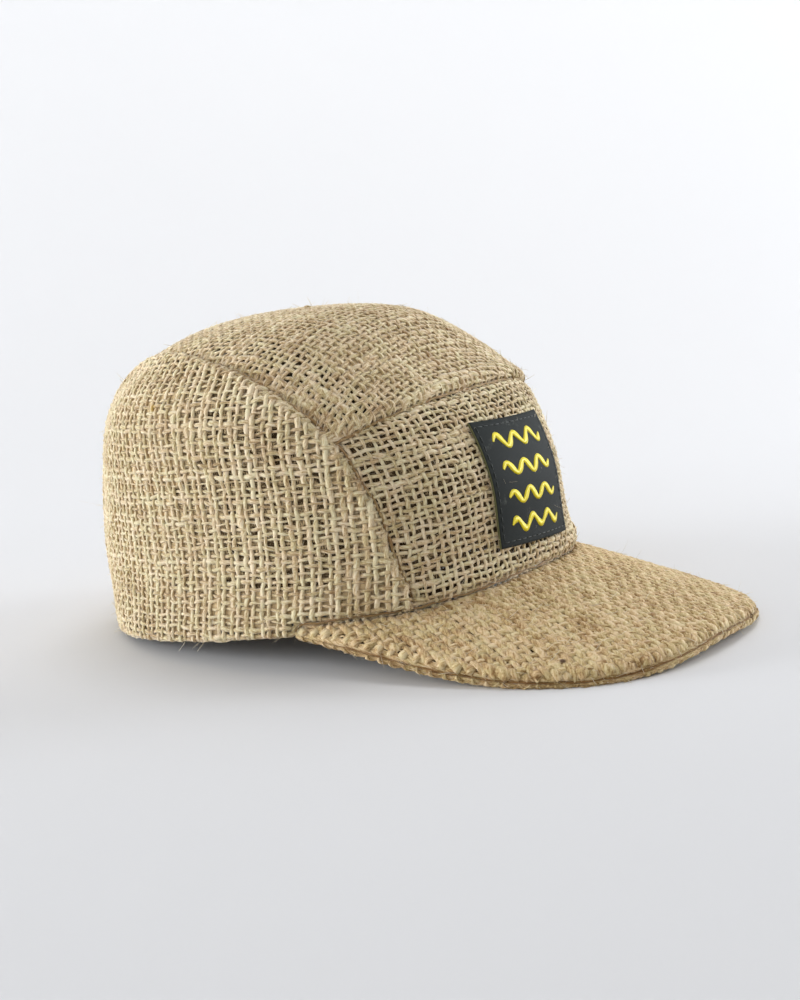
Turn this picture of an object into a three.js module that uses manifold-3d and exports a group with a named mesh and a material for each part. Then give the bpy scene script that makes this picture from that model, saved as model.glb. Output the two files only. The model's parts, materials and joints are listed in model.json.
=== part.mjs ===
// A five-panel cap of coarse jute cloth, in millimetres, +Z up.
// Its peak points to -Y, and the wearer's right is at -X.
import * as THREE from 'three';
import { mergeVertices } from 'three/addons/utils/BufferGeometryUtils.js';
import Module from 'manifold-3d';

// Crown: a row for each level from the rim to the top, with the height and half length at front, side and back
const crownLevels = [
  { frontHeight: 9, front: 99, sideHeight: 5, side: 89, backHeight: 0, back: 100 },
  { frontHeight: 31, front: 98.5, sideHeight: 31, side: 83.5, backHeight: 31, back: 105.5 },
  { frontHeight: 56, front: 96.5, sideHeight: 59, side: 82, backHeight: 61, back: 102 },
  { frontHeight: 81, front: 85, sideHeight: 91, side: 81, backHeight: 90, back: 92 },
  { frontHeight: 101, front: 65, sideHeight: 110, side: 66, backHeight: 110, back: 74.5 },
  { frontHeight: 121, front: 40, sideHeight: 121.5, side: 39, backHeight: 123.5, back: 44 },
  { frontHeight: 126.5, front: 0, sideHeight: 126.5, side: 0, backHeight: 126.5, back: 0 },
];
const rimSquareness = 2.3;
const topSquareness = 2.2;
const crownColumns = 64;
const crownRows = 18;

// Cloth
const clothThickness = 2;
const seamGap = 0.3;
const hemThickness = 1.7;
const hemRise = 0.11;
const hemRows = 2;

// Seams: the half width of the middle strip at stations from front to back, and the plane of the front seam
const stripStations = [
  { y: -78, halfWidth: 60 },
  { y: -45, halfWidth: 68 },
  { y: 0, halfWidth: 62 },
  { y: 60, halfWidth: 42 },
  { y: 106, halfWidth: 46 },
];
const stripSteps = 24;
const frontSeamForward = 85.5;
const frontSeamHeight = 93;
const frontSeamLean = THREE.MathUtils.degToRad(61);

// Peak
const peakCornerAngle = THREE.MathUtils.degToRad(66);
const peakLength = 141;
const peakSquareness = 2.85;
const peakHeight = 13;
const peakPitch = THREE.MathUtils.degToRad(14.6);
const peakArch = 17;
const peakThickness = 7.4;
const peakLipRadius = 3.4;
const peakLipEdge = 0.12;
const peakColumns = 48;
const peakRows = [0.35, 0.7, 0.88];
const peakLipRows = 4;

// Label
const labelWidth = 49;
const labelBottom = 24;
const labelTop = 77;
const labelOffset = 3;
const labelThickness = 1.6;
const labelColumns = 8;
const labelRows = 6;

// Pose: the cap leans back on its rim and the peak's edge, and the cloth is flattened on what it stands on
const restTilt = THREE.MathUtils.degToRad(3.6);
const restLift = 5;
const restShift = 35.7;

// Colours
const straw = '#b99c6c';
const denseStraw = '#b0915f';
const labelGreen = '#26302d';

// The size of the blocks that cut the cap, well past it on every side
const cutReach = 600;
// Smallest half length, shortest edge, and the step over which the crown's slope is measured
const smallest = 1e-6;
const shortestEdge = 1e-4;
const slopeStep = 1e-3;

const wasm = await Module();
wasm.setup();

function clothMaterial(color) {
  return new THREE.MeshStandardMaterial({ color, roughness: 0.95, metalness: 0 });
}

// A closed solid between two grids of points, each a function of u and v, joined along the open edges
function sheetSolid({ us, vs, outer, inner, wraps = false }) {
  const corners = [];
  const quad = (a, b, c, d) => corners.push(a, b, c, a, c, d);
  const outerGrid = us.map((u) => vs.map((v) => outer(u, v)));
  const innerGrid = us.map((u) => vs.map((v) => inner(u, v)));
  const lastU = us.length - 1;
  const lastV = vs.length - 1;
  for (let i = 0; i < lastU; i++) {
    for (let j = 0; j < lastV; j++) {
      quad(outerGrid[i][j], outerGrid[i + 1][j], outerGrid[i + 1][j + 1], outerGrid[i][j + 1]);
      quad(innerGrid[i][j + 1], innerGrid[i + 1][j + 1], innerGrid[i + 1][j], innerGrid[i][j]);
    }
    quad(innerGrid[i][0], innerGrid[i + 1][0], outerGrid[i + 1][0], outerGrid[i][0]);
    quad(outerGrid[i][lastV], outerGrid[i + 1][lastV], innerGrid[i + 1][lastV], innerGrid[i][lastV]);
  }
  for (let j = 0; j < lastV && !wraps; j++) {
    quad(outerGrid[0][j], outerGrid[0][j + 1], innerGrid[0][j + 1], innerGrid[0][j]);
    quad(innerGrid[lastU][j], innerGrid[lastU][j + 1], outerGrid[lastU][j + 1], outerGrid[lastU][j]);
  }
  return toSolid(new THREE.BufferGeometry().setFromPoints(corners));
}

// Merges a geometry's shared vertices, drops its collapsed triangles and makes it a solid
function toSolid(geometry) {
  const bare = new THREE.BufferGeometry();
  bare.setAttribute('position', geometry.getAttribute('position').clone());
  bare.setIndex(geometry.getIndex());
  const merged = mergeVertices(bare, shortestEdge);
  const index = merged.getIndex().array;
  const triangles = [];
  for (let k = 0; k < index.length; k += 3) {
    const [a, b, c] = [index[k], index[k + 1], index[k + 2]];
    if (a !== b && b !== c && c !== a) {
      triangles.push(a, b, c);
    }
  }
  const mesh = new wasm.Mesh({
    numProp: 3,
    vertProperties: merged.getAttribute('position').array,
    triVerts: new Uint32Array(triangles),
  });
  return new wasm.Manifold(mesh);
}

function toGeometry(solid) {
  const mesh = solid.getMesh();
  const geometry = new THREE.BufferGeometry();
  geometry.setAttribute('position', new THREE.BufferAttribute(mesh.vertProperties, 3));
  geometry.setIndex(new THREE.BufferAttribute(mesh.triVerts, 1));
  geometry.computeVertexNormals();
  return geometry;
}

function steps(from, to, count) {
  return Array.from({ length: count + 1 }, (_, k) => from + ((to - from) * k) / count);
}

// The crown's profile in one direction as a curve of half length and height, level on the top
function crownProfile(halfLength, height) {
  const points = crownLevels.map((level) => new THREE.Vector2(level[halfLength], level[height]));
  const beforeTop = points[points.length - 2];
  points.push(new THREE.Vector2(-beforeTop.x, beforeTop.y));
  return new THREE.SplineCurve(points);
}

const frontProfile = crownProfile('front', 'frontHeight');
const sideProfile = crownProfile('side', 'sideHeight');
const backProfile = crownProfile('back', 'backHeight');
const topShare = (crownLevels.length - 1) / crownLevels.length;

// A point of the crown's outer face: angle 0 is the front, rise runs from 0 at the rim to 1 at the top
function crownSurface(angle, rise) {
  const front = frontProfile.getPoint(rise * topShare);
  const side = sideProfile.getPoint(rise * topShare);
  const back = backProfile.getPoint(rise * topShare);
  const ahead = Math.cos(angle);
  const across = Math.sin(angle);
  const squareness = THREE.MathUtils.lerp(rimSquareness, topSquareness, rise);
  const along = Math.max(ahead > 0 ? front.x : back.x, smallest);
  const wide = Math.max(side.x, smallest);
  const share = (Math.abs(across) / wide) ** squareness + (Math.abs(ahead) / along) ** squareness;
  const radius = share ** (-1 / squareness);
  const endsMean = (front.y + back.y) / 2;
  const height = side.y + ((front.y - back.y) / 2) * ahead + (endsMean - side.y) * ahead * ahead;
  return new THREE.Vector3(radius * across, -radius * ahead, height);
}

// The same point moved in by depth, square to the cloth
function crownPoint(angle, rise, depth) {
  const point = crownSurface(angle, rise);
  if (rise > 1 - slopeStep) {
    return point.setZ(point.z - depth);
  }
  const sideways = crownSurface(angle + slopeStep, rise).sub(crownSurface(angle - slopeStep, rise));
  const below = Math.max(rise - slopeStep, 0);
  const upwards = crownSurface(angle, rise + slopeStep).sub(crownSurface(angle, below));
  const outwards = sideways.cross(upwards).normalize();
  return point.addScaledVector(outwards, -depth);
}

function crownShell(depth, thickness, topRise, rows) {
  return sheetSolid({
    us: steps(-Math.PI, Math.PI, crownColumns),
    vs: steps(0, topRise, rows),
    outer: (angle, rise) => crownPoint(angle, rise, depth),
    inner: (angle, rise) => crownPoint(angle, rise, depth + thickness),
    wraps: true,
  });
}

// The crown filled in and carried below its rim, with clearance all round, to cut what leans on it
function crownCore(clearance) {
  const skirt = 40;
  return sheetSolid({
    us: steps(-Math.PI, Math.PI, crownColumns),
    vs: [-1, ...steps(0, 1, crownRows)],
    outer: (angle, rise) =>
      rise < 0
        ? crownPoint(angle, 0, -clearance).setZ(-skirt)
        : crownPoint(angle, rise, -clearance),
    inner: () => new THREE.Vector3(0, 0, -skirt),
    wraps: true,
  });
}

// A tall prism over the middle strip, its sides drawn in or out by an allowance
function stripPrism(allowance) {
  const stations = stripStations.map((station) => new THREE.Vector2(station.y, station.halfWidth));
  const curve = new THREE.SplineCurve(stations);
  const edge = curve.getPoints(stripSteps).map((p) => new THREE.Vector2(p.y + allowance, p.x));
  const first = edge[0];
  const last = edge[edge.length - 1];
  const half = [new THREE.Vector2(first.x, -cutReach), ...edge, new THREE.Vector2(last.x, cutReach)];
  const otherHalf = half.map((p) => new THREE.Vector2(-p.x, p.y)).reverse();
  const outline = new THREE.Shape([...half, ...otherHalf]);
  const geometry = new THREE.ExtrudeGeometry(outline, { depth: 2 * cutReach, bevelEnabled: false });
  geometry.translate(0, 0, -cutReach);
  return toSolid(geometry);
}

// The space on the side of a plane that its normal points to, as a block that reaches well past the cap
function halfSpace(normal, point, shift) {
  const geometry = new THREE.BoxGeometry(cutReach, cutReach, cutReach);
  geometry.translate(0, 0, cutReach / 2 + shift);
  geometry.applyQuaternion(new THREE.Quaternion().setFromUnitVectors(new THREE.Vector3(0, 0, 1), normal));
  geometry.translate(point.x, point.y, point.z);
  return toSolid(geometry);
}

// Where the peak's side edge meets the rim, on the wearer's left
const peakCorner = crownSurface(peakCornerAngle, 0);

// The height of the peak's upper face over a place in plan
function peakTop(x, y) {
  const fall = Math.tan(peakPitch) * (peakCorner.y - y);
  return peakHeight - fall + peakArch * (1 - (x / peakCorner.x) ** 2);
}

// The peak's outline in plan: angle 0 is the middle of its front edge, a quarter turn either way its corners
function peakEdge(angle) {
  const power = 2 / peakSquareness;
  const x = peakCorner.x * Math.sign(Math.sin(angle)) * Math.abs(Math.sin(angle)) ** power;
  const y = peakCorner.y - peakLength * Math.abs(Math.cos(angle)) ** power;
  return new THREE.Vector2(x, y);
}

// One cover of the peak, side 1 for the upper and -1 for the lower, with its lip rolled to the edge seam
function peakCover(side) {
  const middle = new THREE.Vector2(0, peakCorner.y);
  const half = peakThickness / 2;
  const lips = steps(0, 1, peakLipRows).map((k) => 1 + k);
  const place = (angle, share) => {
    const edge = peakEdge(angle);
    const inwards = middle.clone().sub(edge).normalize();
    const lipStart = edge.clone().addScaledVector(inwards, peakLipRadius);
    if (share <= 1) {
      return { at: middle.clone().lerp(lipStart, share), bulge: 1 };
    }
    const turn = ((share - 1) * Math.PI) / 2;
    const at = lipStart.addScaledVector(inwards, -peakLipRadius * Math.sin(turn));
    return { at, bulge: Math.cos(turn) };
  };
  const faceAt = (angle, share, depth) => {
    const { at, bulge } = place(angle, share);
    const fullness = depth * Math.max(bulge, peakLipEdge);
    return new THREE.Vector3(at.x, at.y, peakTop(at.x, at.y) - half + side * (seamGap / 2 + fullness));
  };
  const outwards = (angle, share) => faceAt(angle, share, half - seamGap / 2);
  const towardsSeam = (angle, share) => faceAt(angle, share, 0);
  return sheetSolid({
    us: steps(-Math.PI / 2, Math.PI / 2, peakColumns),
    vs: [0, ...peakRows, ...lips],
    outer: side > 0 ? towardsSeam : outwards,
    inner: side > 0 ? outwards : towardsSeam,
  });
}

// The rise at which the crown's front reaches a height, found by halving
function frontRise(height) {
  let low = 0;
  let high = 1;
  while (high - low > smallest) {
    const middle = (low + high) / 2;
    if (crownSurface(0, middle).z < height) {
      low = middle;
    } else {
      high = middle;
    }
  }
  return low;
}

// The dark patch, lying on the front panel between two heights
function labelSolid() {
  const at = (x, height, depth) => {
    const rise = frontRise(height);
    return crownPoint(Math.atan2(x, -crownSurface(0, rise).y), rise, depth);
  };
  return sheetSolid({
    us: steps(labelOffset - labelWidth / 2, labelOffset + labelWidth / 2, labelColumns),
    vs: steps(labelBottom, labelTop, labelRows),
    outer: (x, height) => at(x, height, -seamGap - labelThickness),
    inner: (x, height) => at(x, height, -seamGap),
  });
}

function addPiece(group, name, solid, color) {
  const mesh = new THREE.Mesh(toGeometry(solid), clothMaterial(color));
  mesh.name = name;
  group.add(mesh);
}

function buildCap() {
  const cap = new THREE.Group();
  cap.rotation.x = -restTilt;
  cap.position.set(0, restShift, restLift);

  const up = new THREE.Vector3(0, -Math.sin(restTilt), Math.cos(restTilt));
  const ground = halfSpace(up.clone().negate(), new THREE.Vector3(), restLift);
  const shell = crownShell(0, clothThickness, 1, crownRows);
  const strip = shell.intersect(stripPrism(-seamGap / 2));
  const sides = shell.subtract(stripPrism(seamGap / 2));
  const right = halfSpace(new THREE.Vector3(-1, 0, 0), new THREE.Vector3(), 0);
  const seamPoint = new THREE.Vector3(0, -frontSeamForward, frontSeamHeight);
  const seamNormal = new THREE.Vector3(0, Math.cos(frontSeamLean), Math.sin(frontSeamLean));
  const behindSeam = halfSpace(seamNormal, seamPoint, seamGap / 2);
  const seamAndBehind = halfSpace(seamNormal, seamPoint, -seamGap / 2);
  const hem = crownShell(clothThickness + seamGap, hemThickness, hemRise, hemRows);
  const core = crownCore(seamGap);

  addPiece(cap, 'front_panel', strip.subtract(seamAndBehind), straw);
  addPiece(cap, 'top_panel', strip.intersect(behindSeam).subtract(ground), straw);
  addPiece(cap, 'side_panel_right', sides.intersect(right).subtract(ground), straw);
  addPiece(cap, 'side_panel_left', sides.subtract(right).subtract(ground), straw);
  addPiece(cap, 'rim_hem', hem.subtract(ground), straw);
  addPiece(cap, 'peak_upper', peakCover(1).subtract(core), denseStraw);
  addPiece(cap, 'peak_lower', peakCover(-1).subtract(core).subtract(ground), denseStraw);
  addPiece(cap, 'front_label', labelSolid(), labelGreen);
  return cap;
}

export default buildCap();
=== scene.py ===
"""A five-panel cap of coarse jute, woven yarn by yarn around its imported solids."""

import json
import math

import bpy
import numpy as np
from bpy.props import FloatProperty, FloatVectorProperty, IntProperty, PointerProperty
from mathutils import Matrix, Vector
from mathutils.bvhtree import BVHTree
from mathutils.kdtree import KDTree

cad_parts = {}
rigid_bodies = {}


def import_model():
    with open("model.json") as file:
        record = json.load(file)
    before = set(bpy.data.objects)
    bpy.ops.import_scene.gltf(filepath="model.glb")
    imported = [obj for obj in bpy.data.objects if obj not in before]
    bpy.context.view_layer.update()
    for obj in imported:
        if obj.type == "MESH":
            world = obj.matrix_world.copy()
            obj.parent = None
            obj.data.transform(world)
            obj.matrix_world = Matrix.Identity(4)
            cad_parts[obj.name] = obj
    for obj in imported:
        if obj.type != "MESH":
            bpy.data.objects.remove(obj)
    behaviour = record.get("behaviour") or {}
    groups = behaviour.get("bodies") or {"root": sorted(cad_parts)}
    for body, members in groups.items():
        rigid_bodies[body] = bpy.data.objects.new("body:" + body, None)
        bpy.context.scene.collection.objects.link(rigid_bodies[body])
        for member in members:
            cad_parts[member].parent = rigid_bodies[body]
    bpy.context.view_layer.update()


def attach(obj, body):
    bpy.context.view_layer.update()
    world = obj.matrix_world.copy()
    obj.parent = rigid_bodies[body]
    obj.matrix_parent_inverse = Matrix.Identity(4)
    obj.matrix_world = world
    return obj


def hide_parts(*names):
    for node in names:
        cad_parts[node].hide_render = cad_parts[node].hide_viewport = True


bl_info = {
    "name": "Jute five-panel cap",
    "version": (1, 0, 0),
    "blender": (4, 5, 0),
    "location": "View3D > Sidebar > Jute cap",
    "description": "Weaves the cap's panels yarn by yarn, covers its peak and sews on its patch",
    "category": "Object",
}

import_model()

MM = 0.001

# The crown from the rim to the top: height and half length at front, side and back, in millimetres
CROWN_LEVELS = [
    {"front_height": 9, "front": 99, "side_height": 5, "side": 89, "back_height": 0, "back": 100},
    {"front_height": 31, "front": 98.5, "side_height": 31, "side": 83.5, "back_height": 31, "back": 105.5},
    {"front_height": 56, "front": 96.5, "side_height": 59, "side": 82, "back_height": 61, "back": 102},
    {"front_height": 81, "front": 85, "side_height": 91, "side": 81, "back_height": 90, "back": 92},
    {"front_height": 101, "front": 65, "side_height": 110, "side": 66, "back_height": 110, "back": 74.5},
    {"front_height": 121, "front": 40, "side_height": 121.5, "side": 39, "back_height": 123.5, "back": 44},
    {"front_height": 126.5, "front": 0, "side_height": 126.5, "side": 0, "back_height": 126.5, "back": 0},
]
RIM_SQUARENESS = 2.3
TOP_SQUARENESS = 2.2

# The side seams: half width of the middle strip at stations from front to back, in millimetres
STRIP_STATIONS = [
    {"y": -78, "half_width": 57.5},
    {"y": -45, "half_width": 68},
    {"y": 0, "half_width": 62},
    {"y": 60, "half_width": 42},
    {"y": 106, "half_width": 46},
]

# The plane of the front seam
SEAM_FORWARD = 85.5 * MM
SEAM_HEIGHT = 93 * MM
SEAM_LEAN = math.radians(61)

# The peak
PEAK_CORNER_ANGLE = math.radians(66)
PEAK_LENGTH = 141 * MM
PEAK_SQUARENESS = 2.85
PEAK_HEIGHT = 13 * MM
PEAK_PITCH = math.radians(14.6)
PEAK_ARCH = 17 * MM
PEAK_THICKNESS = 7.4 * MM
PEAK_LIP_RADIUS = 3.4 * MM
PEAK_SEAM_GAP = 0.3 * MM
CORNER_REACH = 45 * MM
CORNER_DROP = 5 * MM
CORNER_THINNING = 3.6 * MM
FOOT_LIFT = 0.9 * MM
UPPER_LIP_TURN = math.radians(85)
LOWER_LIP_TURN = math.radians(94)
FILLING_SINK = 1.3 * MM
LIP_TUCK = 0.6 * MM
LIP_TUCK_REACH = 1.7 * MM

# How the cap leans where it rests
REST_TILT = math.radians(3.6)
REST_LIFT = 5 * MM
REST_SHIFT = 35.7 * MM

UP = Vector((0, 0, 1))
TINY = 1e-9


class ClothSettings(bpy.types.PropertyGroup):
    """Sizes and colours of the woven panels."""

    side_pitch: FloatProperty(
        name="Side panel pitch",
        description="Distance between the upright yarns of the side panels",
        default=3.6 * MM,
        unit="LENGTH",
    )
    strip_pitch: FloatProperty(
        name="Front and top pitch",
        description="Distance between the lengthwise yarns of the front and top panels",
        default=3.35 * MM,
        unit="LENGTH",
    )
    row_pitch: FloatProperty(
        name="Row pitch",
        description="Distance between the crosswise yarns of the side and front panels",
        default=2.62 * MM,
        unit="LENGTH",
    )
    top_row_pitch: FloatProperty(
        name="Top row pitch",
        description="Distance between the crosswise yarns of the top panel",
        default=2.95 * MM,
        unit="LENGTH",
    )
    wander: FloatProperty(
        name="Wander",
        description="How far a yarn strays sideways from its even place",
        default=0.30 * MM,
        unit="LENGTH",
    )
    pairing: FloatProperty(
        name="Pairing",
        description="How far the side panels' upright yarns lean together in pairs",
        default=0.34 * MM,
        unit="LENGTH",
    )
    middle_depth: FloatProperty(
        name="Depth of the cloth's middle",
        description="From the crown's outer face to the middle of the weave",
        default=1.0 * MM,
        unit="LENGTH",
    )
    allowance_width: FloatProperty(
        name="Seam allowance",
        description="Width of the doubled cloth inside each seam",
        default=11 * MM,
        unit="LENGTH",
    )
    ridge: FloatProperty(
        name="Seam ridge",
        description="Height of the rolled ridge where a panel folds under at a seam",
        default=1.7 * MM,
        unit="LENGTH",
    )
    side_fill: FloatProperty(
        name="Side fill",
        description="How far loose fibres fill the gaps of the side panels, away from the seams",
        default=0.52,
        subtype="FACTOR",
    )
    top_fill: FloatProperty(
        name="Top fill",
        description="How far loose fibres fill the gaps of the top panel",
        default=0.92,
        subtype="FACTOR",
    )
    front_fill: FloatProperty(
        name="Front fill",
        description="How far loose fibres fill the gaps of the front panel",
        default=0.42,
        subtype="FACTOR",
    )
    straw: FloatVectorProperty(
        name="Straw",
        description="Middle colour of the jute",
        default=(0.61, 0.465, 0.265),
        subtype="COLOR",
    )
    pale_straw: FloatVectorProperty(
        name="Pale straw",
        description="Colour of the jute's light fibres",
        default=(0.80, 0.69, 0.505),
        subtype="COLOR",
    )
    brown_straw: FloatVectorProperty(
        name="Brown straw",
        description="Colour of the jute's dark fibres",
        default=(0.30, 0.18, 0.075),
        subtype="COLOR",
    )


class PeakSettings(bpy.types.PropertyGroup):
    """Sizes of the peak's close weave."""

    forward_pitch: FloatProperty(
        name="Forward yarn pitch",
        description="Distance between the fat yarns that run towards the front edge",
        default=2.75 * MM,
        unit="LENGTH",
    )
    cross_pitch: FloatProperty(
        name="Cross yarn pitch",
        description="Distance between the yarns that run across the peak",
        default=4.6 * MM,
        unit="LENGTH",
    )
    turn: FloatProperty(
        name="Grain turn",
        description="How far the peak's grain is turned from straight ahead",
        default=math.radians(-23),
        subtype="ANGLE",
        unit="ROTATION",
    )
    cover_depth: FloatProperty(
        name="Cover depth",
        description="From the peak's outer face to the middle of its weave",
        default=0.8 * MM,
        unit="LENGTH",
    )


class PatchSettings(bpy.types.PropertyGroup):
    """Sizes and colours of the dark patch."""

    width: FloatProperty(name="Width", description="Across the patch", default=49 * MM, unit="LENGTH")
    bottom: FloatProperty(
        name="Bottom", description="Height of its lower edge", default=25.2 * MM, unit="LENGTH"
    )
    top: FloatProperty(
        name="Top", description="Height of its upper edge", default=74.3 * MM, unit="LENGTH"
    )
    offset: FloatProperty(
        name="Offset",
        description="How far it sits towards the wearer's left",
        default=3 * MM,
        unit="LENGTH",
    )
    turn: FloatProperty(
        name="Turn",
        description="How far it is turned clockwise, seen from the front",
        default=math.radians(3.3),
        subtype="ANGLE",
        unit="ROTATION",
    )
    thickness: FloatProperty(
        name="Thickness", description="Of the patch", default=1.6 * MM, unit="LENGTH"
    )
    face: FloatVectorProperty(
        name="Face", description="Colour of its face", default=(0.0085, 0.0115, 0.0105), subtype="COLOR"
    )
    cut_edge: FloatVectorProperty(
        name="Cut edge", description="Colour of its cut edge", default=(0.13, 0.13, 0.06), subtype="COLOR"
    )
    paint: FloatVectorProperty(
        name="Paint", description="Colour of the brush strokes", default=(0.86, 0.72, 0.02), subtype="COLOR"
    )


class FibreSettings(bpy.types.PropertyGroup):
    """Loose fibres that stand off the jute."""

    count: IntProperty(name="Fibres", description="Number of loose fibres", default=6500)
    length: FloatProperty(
        name="Length", description="Mean length of a loose fibre", default=4.0 * MM, unit="LENGTH"
    )
    radius: FloatProperty(
        name="Radius", description="Half the thickness of a fibre", default=0.065 * MM, unit="LENGTH"
    )


class StageSettings(bpy.types.PropertyGroup):
    """The camera and the floor."""

    azimuth: FloatProperty(
        name="Azimuth",
        description="Where the camera stands, round from straight ahead of the peak to the wearer's right",
        default=math.radians(52.45),
        subtype="ANGLE",
        unit="ROTATION",
    )
    elevation: FloatProperty(
        name="Elevation",
        description="How high the camera stands over the cap's own level",
        default=math.radians(8.81),
        subtype="ANGLE",
        unit="ROTATION",
    )
    roll: FloatProperty(
        name="Roll",
        description="How far the camera is turned about its own line of sight",
        default=math.radians(-7.79),
        subtype="ANGLE",
        unit="ROTATION",
    )
    distance: FloatProperty(
        name="Distance", description="From the camera to the cap", default=818.4 * MM, unit="LENGTH"
    )
    aside: FloatProperty(
        name="Aside",
        description="How far the cap's origin lies left of the line of sight",
        default=21.8 * MM,
        unit="LENGTH",
    )
    below: FloatProperty(
        name="Below",
        description="How far the cap's origin lies below the line of sight",
        default=42.25 * MM,
        unit="LENGTH",
    )
    lens: FloatProperty(
        name="Lens", description="Focal length for a 36 mm frame", default=68.4, subtype="DISTANCE_CAMERA"
    )
    floor: FloatVectorProperty(
        name="Floor",
        description="Colour of the floor and backdrop",
        default=(0.655, 0.655, 0.665),
        subtype="COLOR",
    )


# Curves and the crown's form


def column(table, name):
    """One named column of a table, in metres."""
    return np.array([row[name] for row in table], float) * MM


def catmull(values, at):
    """A smooth line through evenly numbered values, at the numbers in at, whole or between."""
    at = np.asarray(at, float)
    last = len(values) - 1
    k = np.clip(np.floor(at).astype(int), 0, last - 1)
    w = at - k
    if values.ndim > 1:
        w = w[..., None]
    p0, p1 = values[np.maximum(k - 1, 0)], values[k]
    p2, p3 = values[k + 1], values[np.minimum(k + 2, last)]
    v0, v1 = (p2 - p0) / 2, (p3 - p1) / 2
    return (2 * p1 - 2 * p2 + v0 + v1) * w**3 + (3 * p2 - 3 * p1 - 2 * v0 - v1) * w**2 + v0 * w + p1


def distance_along(line):
    """How far along a line each of its points lies."""
    return np.concatenate([[0], np.cumsum(np.linalg.norm(np.diff(line, axis=0), axis=1))])


def profile(name, mirrored):
    """A crown column carried one step past the top, so that the crown is level there."""
    values = column(CROWN_LEVELS, name)
    return np.append(values, -values[-2] if mirrored else values[-2])


PROFILE = {name: profile(name, True) for name in ("front", "side", "back")}
PROFILE |= {name: profile(name, False) for name in ("front_height", "side_height", "back_height")}


def crown_surface(angle, rise):
    """Points of the crown's outer face: angle 0 is the front, rise runs from 0 at the rim to 1 at the top."""
    angle, rise = np.broadcast_arrays(np.asarray(angle, float), np.asarray(rise, float))
    at = rise * (len(CROWN_LEVELS) - 1)
    part = {name: catmull(values, at) for name, values in PROFILE.items()}
    ahead, across = np.cos(angle), np.sin(angle)
    squareness = RIM_SQUARENESS + (TOP_SQUARENESS - RIM_SQUARENESS) * rise
    along = np.maximum(np.where(ahead > 0, part["front"], part["back"]), TINY)
    wide = np.maximum(part["side"], TINY)
    share = (abs(across) / wide) ** squareness + (abs(ahead) / along) ** squareness
    radius = share ** (-1 / squareness)
    ends = (part["front_height"] + part["back_height"]) / 2
    lean = (part["front_height"] - part["back_height"]) / 2
    height = part["side_height"] + lean * ahead + (ends - part["side_height"]) * ahead**2
    return np.stack([radius * across, -radius * ahead, height], -1)


def unit(vectors):
    """Vectors brought to length one."""
    return vectors / np.maximum(np.linalg.norm(vectors, axis=-1, keepdims=True), TINY)


def crown_normal(angle, rise):
    """The way out of the crown at an angle round it and a share of its rise."""
    step = 1e-3
    rise = np.minimum(rise, 1 - 2 * step)
    sideways = crown_surface(angle + step, rise) - crown_surface(angle - step, rise)
    upwards = crown_surface(angle, rise + step) - crown_surface(angle, np.maximum(rise - step, 0))
    return unit(np.cross(sideways, upwards))


def crown_point(angle, rise, depth):
    """The same points moved in by depth, square to the cloth."""
    return crown_surface(angle, rise) - crown_normal(angle, rise) * depth


def plan_angle(points):
    """The angle round the crown at which points lie, from the front."""
    return np.arctan2(points[..., 0], -points[..., 1])


def strip_gap(points):
    """How far inside the middle strip a point lies in plan, negative over the side panels."""
    stations = column(STRIP_STATIONS, "y")
    widths = column(STRIP_STATIONS, "half_width")
    fine = np.linspace(0, len(stations) - 1, 200)
    half = np.interp(points[..., 1], catmull(stations, fine), catmull(widths, fine))
    return half - abs(points[..., 0])


def seam_gap(points):
    """How far behind the front seam's plane a point lies."""
    y, z = points[..., 1] + SEAM_FORWARD, points[..., 2] - SEAM_HEIGHT
    return y * math.cos(SEAM_LEAN) + z * math.sin(SEAM_LEAN)


def rim_gap(points):
    """How far above the rim a point lies."""
    return points[..., 2] - crown_surface(plan_angle(points), 0)[..., 2]


def to_world(points):
    """Places in the crown's own upright frame as places where the cap rests."""
    c, s = math.cos(REST_TILT), math.sin(REST_TILT)
    x, y, z = points[..., 0], points[..., 1], points[..., 2]
    return np.stack([x, y * c + z * s + REST_SHIFT, z * c - y * s + REST_LIFT], -1)


def from_world(point):
    """A place where the cap rests as a place in the crown's own frame."""
    c, s = math.cos(REST_TILT), math.sin(REST_TILT)
    x, y, z = point[0], point[1] - REST_SHIFT, point[2] - REST_LIFT
    return (x, y * c - z * s, y * s + z * c)


def add_object(name, data):
    """A new object in the scene for a mesh, a camera or a light."""
    made = bpy.data.objects.new(name, data)
    bpy.context.scene.collection.objects.link(made)
    return made


def read(items, name, width=3):
    """One value of every vertex or face of a mesh, as rows of numbers."""
    values = np.zeros(len(items) * width)
    items.foreach_get(name, values)
    return values.reshape(-1, width)


# Laying cloth on a form


class Skin:
    """A smooth form that cloth is laid on, as a fine mesh that gives the nearest place and its normal."""

    def __init__(self, grid):
        columns, rows = grid.shape[:2]
        number = np.arange(columns * rows).reshape(columns, rows)
        quads = np.stack([number[:-1, :-1], number[1:, :-1], number[1:, 1:], number[:-1, 1:]], -1)
        self.grid = grid
        self.tree = BVHTree.FromPolygons(grid.reshape(-1, 3).tolist(), quads.reshape(-1, 4).tolist())

    def nearest(self, point):
        """The nearest place on the form, and its normal."""
        place, normal, _, _ = self.tree.find_nearest(point)
        return place, normal

    def gap(self, points):
        """How far each point lies outside the form."""
        found = [self.tree.find_nearest(Vector(p)) for p in points]
        return np.array([(Vector(p) - f[0]).dot(f[1]) for p, f in zip(points, found)])


def crown_skin(depth):
    """The crown at a depth, carried a little below its rim."""
    columns, rows, skirt_rows, skirt_step = 420, 220, 3, 6 * MM
    angles = np.linspace(-math.pi, math.pi, columns + 1)
    rises = np.linspace(0, 0.999, rows)
    grid = crown_point(angles[:, None], rises[None, :], depth)
    fall = unit(grid[:, :1] - grid[:, 1:2])
    skirt = grid[:, :1] + fall * (np.arange(skirt_rows, 0, -1) * skirt_step)[None, :, None]
    return Skin(np.concatenate([skirt, grid], 1))


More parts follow.
